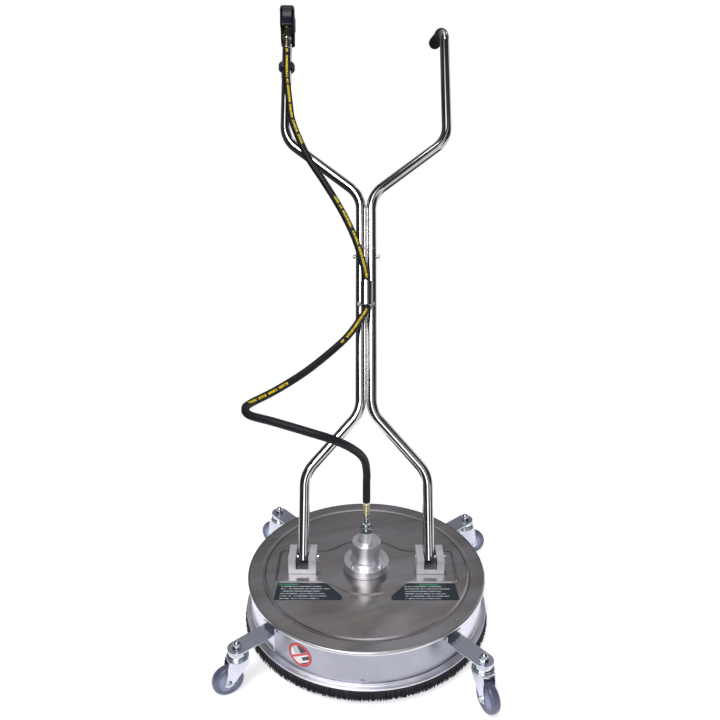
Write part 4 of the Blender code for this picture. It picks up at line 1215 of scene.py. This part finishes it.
def acorn_nut():
    """A hexagon nut on its washer, with a domed top, standing on z = 0."""
    rows = [
        (0.0058, 0.0), (0.0098, 0.0), (0.0098, 0.0008), (0.0084, 0.0010, HEX),
        (0.0086, 0.0050, HEX), (0.0084, 0.0056), (0.0079, 0.0060),
    ]
    for t in np.radians(range(0, 90, 10)):
        rows.append((0.0077 * math.cos(t), 0.0066 + 0.0077 * math.sin(t)))
    return nutted(rows + [(0.0005, 0.0143)])


def swivel_cup():
    low, top = FORK_TOP + GAP, LEG_TOP - 0.0045 - GAP
    return turned([
        (0.0145, low), (0.0217, low), (0.0225, low + 0.0010), (0.0225, low + 0.0022),
        (0.0215, low + 0.0032), (0.0203, low + 0.0036), (0.0203, low + 0.0044),
        (0.0212, low + 0.0050), (0.0212, low + 0.0062), (0.0200, low + 0.0072),
        (0.0186, low + 0.0078), (0.0184, top - 0.0012), (0.0172, top), (STEM_RADIUS, top),
        (STEM_RADIUS, LEG_TOP + 0.005),
    ], 72, ease=0.0005)


def lower_race():
    top, low, edge = FORK_TOP, FORK_TOP - 0.0042, RACE_RADIUS - 0.0012
    return turned([
        (0.012, low), (edge, low), (RACE_RADIUS, low + 0.0012), (RACE_RADIUS, top - 0.0012),
        (edge, top), (0.012, top),
    ], 72, ease=0.0005)


def axle_bolt():
    reach = WHEEL_HALF + 0.0035
    return joined(
        rod(0.0029, -reach - 0.001, reach + 0.0052, 24),
        moved(hex_head(0.0050, 0.0034), at(0, 0, reach + GAP)),
        moved(hex_head(0.0050, 0.0034), at(0, 0, -reach - GAP) @ spun(180, "X")),
        rod(0.0062, reach + 0.0001, reach + 0.0007, 24, ease=0.0002),
    )


def tyre():
    half = WHEEL_HALF
    return turned(mirrored([
        (0.0212, half - 0.0038), (0.0218, half - 0.0012), (0.0262, half - 0.0006),
        (0.0290, half - 0.0012), (0.0308, half - 0.0028), (0.0320, half - 0.0056),
        (WHEEL_RADIUS, half - 0.0085),
    ]), 96, True, 0.0009)


def wheel_core():
    half = WHEEL_HALF
    core = turned(mirrored([
        (0.0034, half + 0.0003), (0.0085, half + 0.0003), (0.0092, half - 0.0006),
        (0.0100, half - 0.0034), (0.0185, half - 0.0046), (0.0196, half - 0.0022),
        (0.0213, half - 0.0018),
    ]), 96, True, 0.0006)
    spokes = []
    for k in range(8):
        for face in (-1, 1):
            rib = box((0.0095, 0.0014, 0.0022), (0.0143, 0, face * (half - 0.0040)))
            spokes.append(moved(rib, spun(45 * k)))
    return joined(core, *spokes)


def make_casters():
    for name, (diagonal, trail) in CASTERS.items():
        stem = JOINTS["swivel_" + name]["pos_m"]
        body, wheel = "caster_" + name, "wheel_" + name
        seat = at(stem[0], stem[1], 0)
        swivel = seat @ spun(trail)
        axle = swivel @ at(TRAIL, 0, WHEEL_RADIUS) @ ALONG_Y
        nut = moved(acorn_nut(), at(0, 0, LEG_TOP + GAP))
        leg = FLOOR @ spun(diagonal + LEG_TWIST)
        piece("bar_" + name, leg_shape(), "zinc", "deck", leg, ["leg_" + name])
        piece("acorn_nut_" + name, nut, "zinc_bright", "deck", seat, ["dome_nut_" + name])
        cup = swivel_cup()
        piece("swivel_cup_" + name, cup, "zinc_bright", "deck", seat, ["swivel_head_" + name])
        piece("fork_plate_" + name, fork_shape(), "fork", body, swivel, ["fork_" + name])
        piece("lower_race_" + name, lower_race(), "zinc_bright", body, swivel)
        piece("axle_bolt_" + name, axle_bolt(), "zinc_bright", body, axle, ["axle_" + name])
        piece("tyre_" + name, tyre(), "tyre", wheel, axle, [wheel], level=True)
        piece("wheel_core_" + name, wheel_core(), "core", wheel, axle)


# ---------------------------------------------------------------- hub, blocks, rotor
def threads(radius, low, high, pitch=0.0012, depth=0.00035):
    """Profile points of a threaded length, as rings."""
    points, z = [], low
    while z + pitch <= high:
        points += [(radius - depth, z), (radius, z + pitch * 0.35), (radius, z + pitch * 0.6)]
        z += pitch
    return points + [(radius - depth, high)]


def make_hub():
    low = PLATEAU_HEIGHT + GAP
    seat = 0.0210 + GAP
    profile = [
        (seat, low), (0.0507, low), (0.0515, low + 0.0008), (0.0515, 0.0085), (0.0509, 0.0090),
        (0.0509, 0.0098), (0.0515, 0.0103), (0.0515, 0.0200), (0.0505, 0.0210), (0.0385, 0.0210),
        (0.0352, 0.0216), (0.0332, 0.0236), (0.0322, 0.0275), (0.0320, 0.0320),
        (0.0320, 0.0696), (0.0308, 0.0710), (0.0190, 0.0710), (0.0172, 0.0722),
        (0.0163, 0.0750), (0.0136, 0.0925), (0.0136, 0.0944), (0.0128, 0.0950), (0.006, 0.0950),
        (0.006, 0.080), (0.011, 0.080), (0.011, 0.066), (0.0165, 0.066), (0.0165, 0.0565),
        (seat, 0.0565),
    ]
    shape = turned(profile, 128, True, 0.0006)
    piece("swivel_housing", shape, "aluminium", "deck", DECK, ["hub_housing"])
    screws = []
    for angle in (45, 135, 225, 315):
        screws.append(moved(cap_screw(), spun(angle) @ at(0.0425, 0, 0.0206)))
    piece("flange_screws", joined(*screws), "zinc", "deck", DECK)
    low = 0.0950 + GAP
    top = low + 0.0235
    nut = nutted([
        (0.0045, low), (0.0134, low), (0.0138, low + 0.0006, HEX), (0.0138, low + 0.0072, HEX),
        (0.0132, low + 0.0080), (0.0100, low + 0.0086), (0.0092, low + 0.0104),
        (0.0095, low + 0.0120), (0.0095, low + 0.0180), (0.0088, low + 0.0186),
        (0.0088, low + 0.0196), (0.0095, low + 0.0204), (0.0090, top), (0.0045, top),
    ], True)
    piece("inlet_nut", nut, "zinc_bright", "deck", DECK, ["inlet_adapter"])
    low = top + GAP
    stem = turned([
        (0.0028, low), (0.0055, low), (0.0055, low + 0.0060), (0.0062, low + 0.0070),
        (0.0062, low + 0.0100), (0.0055, low + 0.0110), (0.0055, low + 0.0180),
        (0.0028, low + 0.0190),
    ], 40)
    piece("hose_stem", stem, "zinc_bright", "deck", DECK)
    start = low + 0.0172
    crimped = [(0.0052, start), (0.0066, start + 0.001), (0.0074, start + 0.003)]
    for k in range(4):
        z = start + 0.0062 + k * 0.0062
        crimped += [(0.0074, z), (0.0069, z + 0.0009), (0.0069, z + 0.0024), (0.0074, z + 0.0033)]
    crimped += [(0.0074, FERRULE_TOP - 0.0012), (0.0070, FERRULE_TOP), (0.0040, FERRULE_TOP)]
    shape = turned(crimped, 48, ease=0.0005)
    piece("hose_ferrule", shape, "gold", "deck", DECK, ["hose_end_lower"])


def make_blocks():
    base = PLATEAU_HEIGHT + GAP
    top = base + BLOCK_HEIGHT
    outline = [
        (-BLOCK_HALF, base), (BLOCK_HALF, base), (BLOCK_HALF, top), (BLOCK_SLOT, top),
        (BLOCK_SLOT, BLOCK_FLOOR), (-BLOCK_SLOT, BLOCK_FLOOR), (-BLOCK_SLOT, top),
        (-BLOCK_HALF, top),
    ]
    for name, side in SIDES.items():
        place = DECK @ at(side * BLOCK_X)
        pin_place = at(0, 0, PIVOT.z - RIM_Z)
        bore = moved(rod(0.0054, -0.05, 0.05, 32, ease=0), pin_place @ ALONG_X)
        shape = carved(prism(outline, -BLOCK_DEPTH, BLOCK_DEPTH, "y"), [bore], 0.0010)
        piece("saddle_block_" + name, shape, "block", "deck", place, ["pivot_block_" + name])
        seat = BLOCK_HALF + GAP
        pin = turned([
            (0.0020, -seat - 0.0022), (0.0056, -seat - 0.0022), (0.0062, -seat - 0.0014),
            (0.0062, -seat), (0.0050, -seat), (0.0050, seat + 0.0054), (0.0042, seat + 0.0066),
            (0.0015, seat + 0.0068),
        ], 40, ease=0.0004)
        place = place @ pin_place
        pin_name = "pivot_pin_" + name
        piece("cross_pin_" + name, pin, "zinc_bright", "deck", place @ ALONG_X, [pin_name])
        wire = [
            (0.0003, 0.0088), (0.0003, -0.0070), (-0.002, -0.0105), (-0.006, -0.0110),
            (-0.0088, -0.0080), (-0.0072, -0.0040), (-0.0058, 0.0010), (-0.0068, 0.0048),
            (-0.0100, 0.0090),
        ]
        path, _ = smooth_path([Vector((seat + 0.0042, y, z)) for y, z in wire], 0.0008)
        piece("spring_clip_" + name, swept(path, 0.0009, 12), "zinc_bright", "deck", place)


def make_rotor():
    bar = AXIS.z - RIM_Z
    place = DECK @ at(0, 0, bar)
    beam = carved(moved(rod(0.008, -0.2242, 0.2242, 48, ease=0.001), ALONG_X))
    caps = [moved(hex_head(0.0068, 0.0012), at(s * 0.2238) @ spun(s * 90, "Y")) for s in (-1, 1)]
    boss = rod(0.015, -0.012, 0.0108, 48, ease=0.001)
    piece("spray_beam", joined(beam, boss, *caps), "zinc", "rotor", place, ["spray_bar"])
    for name, side in (("nozzle_a", 1), ("nozzle_b", -1)):
        tip = nutted([
            (0.0008, -0.0300), (0.0038, -0.0300), (0.0052, -0.0280), (0.0058, -0.0240),
            (0.0060, -0.0235, HEX), (0.0060, -0.0160, HEX), (0.0056, -0.0150),
            (0.0066, -0.0140), (0.0066, -0.0083), (0.0030, -0.0083),
        ])
        piece("jet_" + name[-1], tip, "brass", "rotor", place @ at(side * 0.215), [name])


KEPT_NODES = {
    "bearing_lower": "steel", "bearing_upper": "steel", "shaft_seal": "rubber",
    "rotor_shaft": "steel", "valve_body": "dull_brass",
}


def dress_kept_nodes():
    """CAD nodes whose shapes stay get a material and soft edges."""
    for name, look in KEPT_NODES.items():
        node = frame["nodes"][name]
        node.data.materials.clear()
        node.data.materials.append(LOOKS[look].material)
        soft = node.modifiers.new("edges", "BEVEL")
        soft.width, soft.segments = 0.0004, 2
        soft.limit_method, soft.angle_limit = "ANGLE", math.radians(40)


# ---------------------------------------------------------------- handle
def end_bend():
    """The right arm's top: an arc backwards and a straight end."""
    steps = 18
    toe = Matrix.Rotation(END_TOE, 3, "Z")
    start = Vector((ARM_X, 0, ARM_TOP))
    points = []
    for k in range(steps + 1):
        t = END_BEND * k / steps
        back = END_BEND_RADIUS * (1 - math.cos(t))
        points.append(start + toe @ Vector((0, back, END_BEND_RADIUS * math.sin(t))))
    along = toe @ Vector((0, math.sin(END_BEND), math.cos(END_BEND)))
    points.append(points[-1] + along * END_STRAIGHT)
    return points


def make_tubes():
    for name, side in SIDES.items():
        path = rounded([
            (side * FOOT_X, 0, -0.007), (side * FOOT_X, 0, 0.1853), (side * PAIR_X, 0, 0.3298),
            (side * PAIR_X, 0, JOINT_Z - 0.0004),
        ], BEND_RADIUS)
        shape = swept(path, TUBE_RADIUS, 48, TUBE_BORE)
        node = "tube_lower_" + name
        piece("leg_tube_" + name, shape, "chrome", "handle", HANDLE, [node], level=True)
        path = rounded([
            (side * PAIR_X, 0, JOINT_Z + 0.0004), (side * PAIR_X, 0, 0.875),
            (side * ARM_X, 0, 1.0275), (side * ARM_X, 0, GUN_TUBE_END if side < 0 else ARM_TOP),
        ], BEND_RADIUS)
        if side > 0:
            path = path[:-1] + end_bend()
        shape = swept(path, TUBE_RADIUS, 48, TUBE_BORE)
        node = "tube_upper_" + name
        piece("arm_tube_" + name, shape, "chrome", "handle", HANDLE, [node], level=True)
        tube = HANDLE @ at(side * PAIR_X)
        spigot = rod(0.0106, JOINT_Z - 0.058, JOINT_Z + 0.004, 40, 0.0090)
        piece("spigot_" + name, spigot, "steel", "handle", tube)
        button = turned([
            (0.0008, -0.0020), (0.0040, -0.0020), (0.0040, 0.0012), (0.0034, 0.0023),
            (0.0020, 0.0029), (0.0003, 0.0031),
        ], 28, ease=0.0003)
        spot = tube @ spun(22 - 8 * side) @ at(0, -TUBE_RADIUS, JOINT_Z - 0.007) @ spun(90, "X")
        piece("joint_button_" + name, button, "zinc_bright", "handle", spot)
        spot, node = tube @ at(0, 0, SCREW_Z) @ spun(side * 90, "Y"), "thumb_screw_" + name
        piece("wing_screw_" + name, wing_screw(), "zinc_bright", "thumb_" + name, spot, [node])


def wing_screw():
    """A threaded stem and a collar with two wings, along Z from the tube's axis."""
    outer = TUBE_RADIUS + 0.0008
    stem = [(0.0012, -0.0065), (0.0028, -0.0062)]
    stem += threads(0.0028, -0.0055, outer - 0.001, 0.0009, 0.0003)
    stem += [(0.0028, outer), (0.0056, outer), (0.0056, outer + 0.0050)]
    stem += [(0.0047, outer + 0.0066), (0.0020, outer + 0.0070)]
    wing = [
        (0.0040, outer + 0.0020), (0.0085, outer + 0.0052), (0.0098, outer + 0.0078),
        (0.0088, outer + 0.0096), (0.0066, outer + 0.0090), (0.0030, outer + 0.0062),
    ]
    fins = []
    for way in (-1, 1):
        outline = eased([(way * a, b) for a, b in wing], 0.0012, 3, True)
        fins.append(carved(prism(outline, -0.0011, 0.0011, "y"), (), 0.0005))
    return joined(turned(stem, 36, ease=0.0003), *fins)


def make_guide():
    low = GUIDE_Z - GUIDE_LENGTH / 2
    high = GUIDE_Z + GUIDE_LENGTH / 2
    shape = rod(GUIDE_RADIUS, low, high, 72, GUIDE_BORE, 0.0010)
    piece(
        "hose_sleeve", shape, "chrome", "handle", HANDLE @ at(0, GUIDE_Y), ["hose_guide"],
        slot="satin_aluminium", level=True,
    )
    front = -TUBE_RADIUS - 0.0005
    width = 2 * PAIR_X + 2 * TUBE_RADIUS - 0.008
    strap = box((width, 0.0026, 0.011), (0, front - 0.0014, low + 0.008))
    strap = carved(strap, (), 0.0009, 3)
    bolts = []
    for side in (-1, 1):
        place = at(side * 0.0172, front - 0.0027, low + 0.008) @ spun(90, "X")
        bolts.append(moved(hex_head(0.0035, 0.0026), place))
    # The strap's dark steel is painted shade.
    piece("sleeve_strap", joined(strap, *bolts), "strap", "handle", HANDLE)


def make_grip():
    bore = TUBE_RADIUS + GAP
    start = -GRIP_LENGTH + 0.006
    full, waist = GRIP_RADIUS, GRIP_RADIUS - 0.0009
    profile = [(0.0005, GAP), (bore, GAP), (bore, start), (full + 0.0012, start)]
    profile += [(full + 0.0020, start + 0.001), (full + 0.0020, start + 0.004)]
    profile.append((full + 0.0006, start + 0.0058))
    z = start + 0.009
    while z < -0.012:
        profile += [(waist, z), (waist, z + 0.0012), (full, z + 0.0019), (full, z + 0.0038)]
        z += 0.0052
    profile += [(full, -0.004), (full, 0.0015), (full - 0.0014, 0.0042)]
    profile += [(full - 0.0042, 0.0058), (full - 0.009, 0.0060), (0.0005, 0.0060)]
    shape = turned(profile, 64, ease=0.0005)
    spin = Matrix.Rotation(END_TOE, 4, "Z") @ Matrix.Rotation(-END_BEND, 4, "X")
    place = HANDLE @ Matrix.Translation(end_bend()[-1]) @ spin
    piece("ribbed_grip", shape, "rubber", "handle", place, ["grip_right"])


# ---------------------------------------------------------------- gun
def lean_to_upright(y, z):
    """A place beside the leaning arm, given in the gun's level frame."""
    dy, dz = y - BARREL_Y, z - BARREL_Z
    back = dy * math.cos(LEAN) + dz * math.sin(LEAN)
    return back, dz * math.cos(LEAN) - dy * math.sin(LEAN)


def make_gun():
    front = [1.322 + 0.0085 * k for k in range(7)]
    outline = [lean_to_upright(-0.048 + (z - 1.342) ** 2 / 0.30, z) for z in front]
    outline += [lean_to_upright(-0.0385, 1.3865), (0.046, 0.058), (0.080, 0.051), (0.130, 0.045)]
    outline += [(0.186, 0.040), (0.196, 0.032), (0.197, 0.012), (0.190, 0.004), (0.150, 0.009)]
    outline += [(0.105, 0.010), (0.078, 0.004), (0.068, -0.002), lean_to_upright(0.019, 1.318)]
    outline += [lean_to_upright(0.019, 1.300), lean_to_upright(-0.014, 1.300)]
    outline += [lean_to_upright(-0.016, 1.322)]
    outline = eased(outline, 0.0075, 4, True)
    half = GUN_WIDTH / 2
    to_handle = GUN.inverted() @ HANDLE

    def hole(radius, low, high, sides, place):
        return moved(rod(radius, low, high, sides, ease=0), place)

    for name, side in SIDES.items():
        cuts = [
            box((0.02, 0.156, 0.12), (side * (GRIP_WIDTH / 2 + 0.01), 0.148, 0.01)),
            hole(BARREL_RADIUS + GAP, -0.06, 0.0515, 40, to_handle @ at(GUN_X, BARREL_Y, BARREL_Z)),
            hole(TUBE_RADIUS + GAP, 1.20, GUN_TUBE_END + GAP, 40, to_handle @ at(-ARM_X)),
            box((0.016, 0.050, 0.034), (0, 0.068, 0.001)),
            hole(0.0034, -0.0125, 0.0125, 24, at(0, *TRIGGER_PIVOT) @ ALONG_X),
            hole(0.0049, -0.03, 0.03, 28, at(0, *LOCK_PLACE) @ ALONG_X),
            hole(0.0068, 0.150, 0.25, 28, at(0, 0, 0.022) @ ALONG_Y),
        ]
        shape = carved(pillow(outline, side, half, 0.00025, 0.0078, 0.0046), cuts)
        piece("gun_half_" + name, shape, "plastic", "handle", GUN, ["gun_shell_" + name], 30)
        face = side * GRIP_WIDTH / 2
        ribs = []
        for k in range(9):
            back = 0.104 + 0.0082 * k
            rib = box((0.0016, 0.0030, 0.020), (face, back, 0.0255))
            ribs.append(carved(rib, (), 0.0006))
        piece("grip_ribs_" + name, joined(*ribs), "plastic", "handle", GUN)
    screws = []
    for back, up in ((0.030, 0.046), (0.058, 0.040), (0.182, 0.030), (0.094, 0.041)):
        reach = half if back < 0.07 else GRIP_WIDTH / 2
        place = at(-reach - 0.0002, back, up) @ spun(-90, "Y")
        screws.append(moved(pan_screw(0.0030, 0.0016), place))
    piece("gun_screws", joined(*screws), "steel", "handle", GUN)


def make_trigger():
    back, up = TRIGGER_PIVOT
    lever = arc((back, up), 0.0055, 60, 200, 12) + [(0.058, -0.012), (0.072, -0.022)]
    lever += [(0.092, -0.029), (0.116, -0.036), (0.121, -0.034), (0.120, -0.030)]
    lever += [(0.096, -0.021), (0.078, -0.012), (0.066, -0.002)]
    lever = eased([(a - back, b - up) for a, b in lever], 0.004, 4, True)
    pin = moved(rod(0.0030, -0.012, 0.012, 28), ALONG_X)
    shape = joined(carved(prism(lever, -0.0075, 0.0075, "x"), (), 0.0016, 3), pin)
    piece("trigger_lever", shape, "plastic", "trigger", GUN @ at(0, back, up), ["trigger"])


def make_lock():
    reach = GRIP_WIDTH / 2
    bolt = [(0.0010, -reach - 0.001), (0.0036, -reach - 0.001), (0.0045, -reach), (0.0045, reach)]
    bolt += [(0.0040, reach + 0.0006), (0.0040, reach + 0.0012), (0.0045, reach + 0.0018)]
    bolt += [(0.0045, reach + 0.0032), (0.0036, reach + 0.004), (0.0010, reach + 0.004)]
    shape = turned(bolt, 40, ease=0.0003)
    piece("lock_bolt", shape, "zinc", "lock", GUN @ at(0, *LOCK_PLACE) @ ALONG_X, ["trigger_lock"])


def make_fittings():
    place = HANDLE @ at(GUN_X, BARREL_Y, 0)
    low, top = HOSE_END, BARREL_Z - 0.007 - GAP
    ferrule = [(0.0040, low + GAP), (0.0086, low + GAP), (0.0092, low + 0.0016)]
    for k in range(3):
        z = low + 0.0035 + 0.0052 * k
        ferrule += [(0.0092, z), (0.0088, z + 0.0008), (0.0088, z + 0.0022), (0.0092, z + 0.0030)]
    ferrule += [(0.0092, low + 0.0198), (0.0086, low + 0.0208), (0.0040, low + 0.0208)]
    shape = turned(ferrule, 48, ease=0.0004)
    piece("crimp_ferrule", shape, "dull_brass", "handle", place, ["outlet_fitting"])
    rim = turned([
        (0.0040, low - 0.0030), (0.0089, low - 0.0030), (0.0091, low - 0.0026),
        (0.0091, low - 0.0004), (0.0089, low), (0.0040, low),
    ], 48, ease=0.0003)
    piece("ferrule_rim", rim, "gold", "handle", place)
    ring = turned([
        (0.0040, low + 0.0210), (0.0096, low + 0.0210), (0.0102, low + 0.0218),
        (0.0102, low + 0.0240), (0.0098, low + 0.0246), (0.0102, low + 0.0252),
        (0.0102, low + 0.0270), (0.0095, low + 0.0278), (0.0040, low + 0.0278),
    ], 56, ease=0.0004)
    piece("plated_ring", ring, "chrome", "handle", place, slot="zinc")
    nut = nutted([
        (0.0040, low + 0.0281), (0.0082, low + 0.0281), (0.0085, low + 0.0288, HEX),
        (0.0085, top - 0.0050, HEX), (0.0081, top - 0.0042), (0.0074, top - 0.0040),
        (0.0074, top), (0.0040, top),
    ])
    piece("outlet_nut", nut, "brass", "handle", place)
    back = GUN @ at(0, 0, 0.022) @ ALONG_Y
    shank = [(0.0040, 0.160), (0.0064, 0.160), (0.0064, 0.1975), (0.0086, 0.1980)]
    shank += [(0.0086, 0.2070)] + threads(0.0078, 0.2074, 0.2255)
    shank += [(0.0070, 0.226), (0.0040, 0.226)]
    stub = turned(shank, 48, True, 0.0002)
    piece("inlet_stub", stub, "brass", "handle", back, ["inlet_connector"])
    nut = nutted([
        (0.0070, 0.1982), (0.0098, 0.1982), (0.0100, 0.1988, HEX), (0.0100, 0.2062, HEX),
        (0.0097, 0.2069), (0.0070, 0.2069),
    ], True)
    piece("inlet_hex", nut, "brass", "handle", back)


def make_clamp():
    """The rubber ring round the left arm below the gun, with a lug in front."""
    low, high = CLAMP_Z - 0.008, CLAMP_Z + 0.008
    bore, outer = TUBE_RADIUS + GAP, CLAMP_RADIUS
    band = turned([(bore, low), (outer, low), (outer, high), (bore, high)], 72, True, 0.0035)
    lug = carved(box((0.012, 0.016, 0.026), (-0.010, outer + 0.002, CLAMP_Z - 0.006)), (), 0.003, 4)
    relief = box((0.06, 0.03, 0.06), (0, -0.0315, CLAMP_Z))
    shape = carved(band, [relief], added=[lug])
    piece("foot_clamp", shape, "clamp", "handle", HANDLE @ at(-ARM_X), ["gun_clamp"], 50)


# ---------------------------------------------------------------- assembly
for make in (
    make_camera, make_hose, make_cover, make_wall, make_skirt, make_labels, make_casters,
    make_hub, make_blocks, make_rotor, dress_kept_nodes, make_tubes, make_guide, make_grip,
    make_gun, make_trigger, make_lock, make_fittings, make_clamp, make_world, make_floor,
):
    make()
bpy.context.scene.view_settings.view_transform = "Standard"
area_light("key", (-0.9, -1.9, 2.9), (0, -0.2, 0.3), (1.4, 1.4), 44)
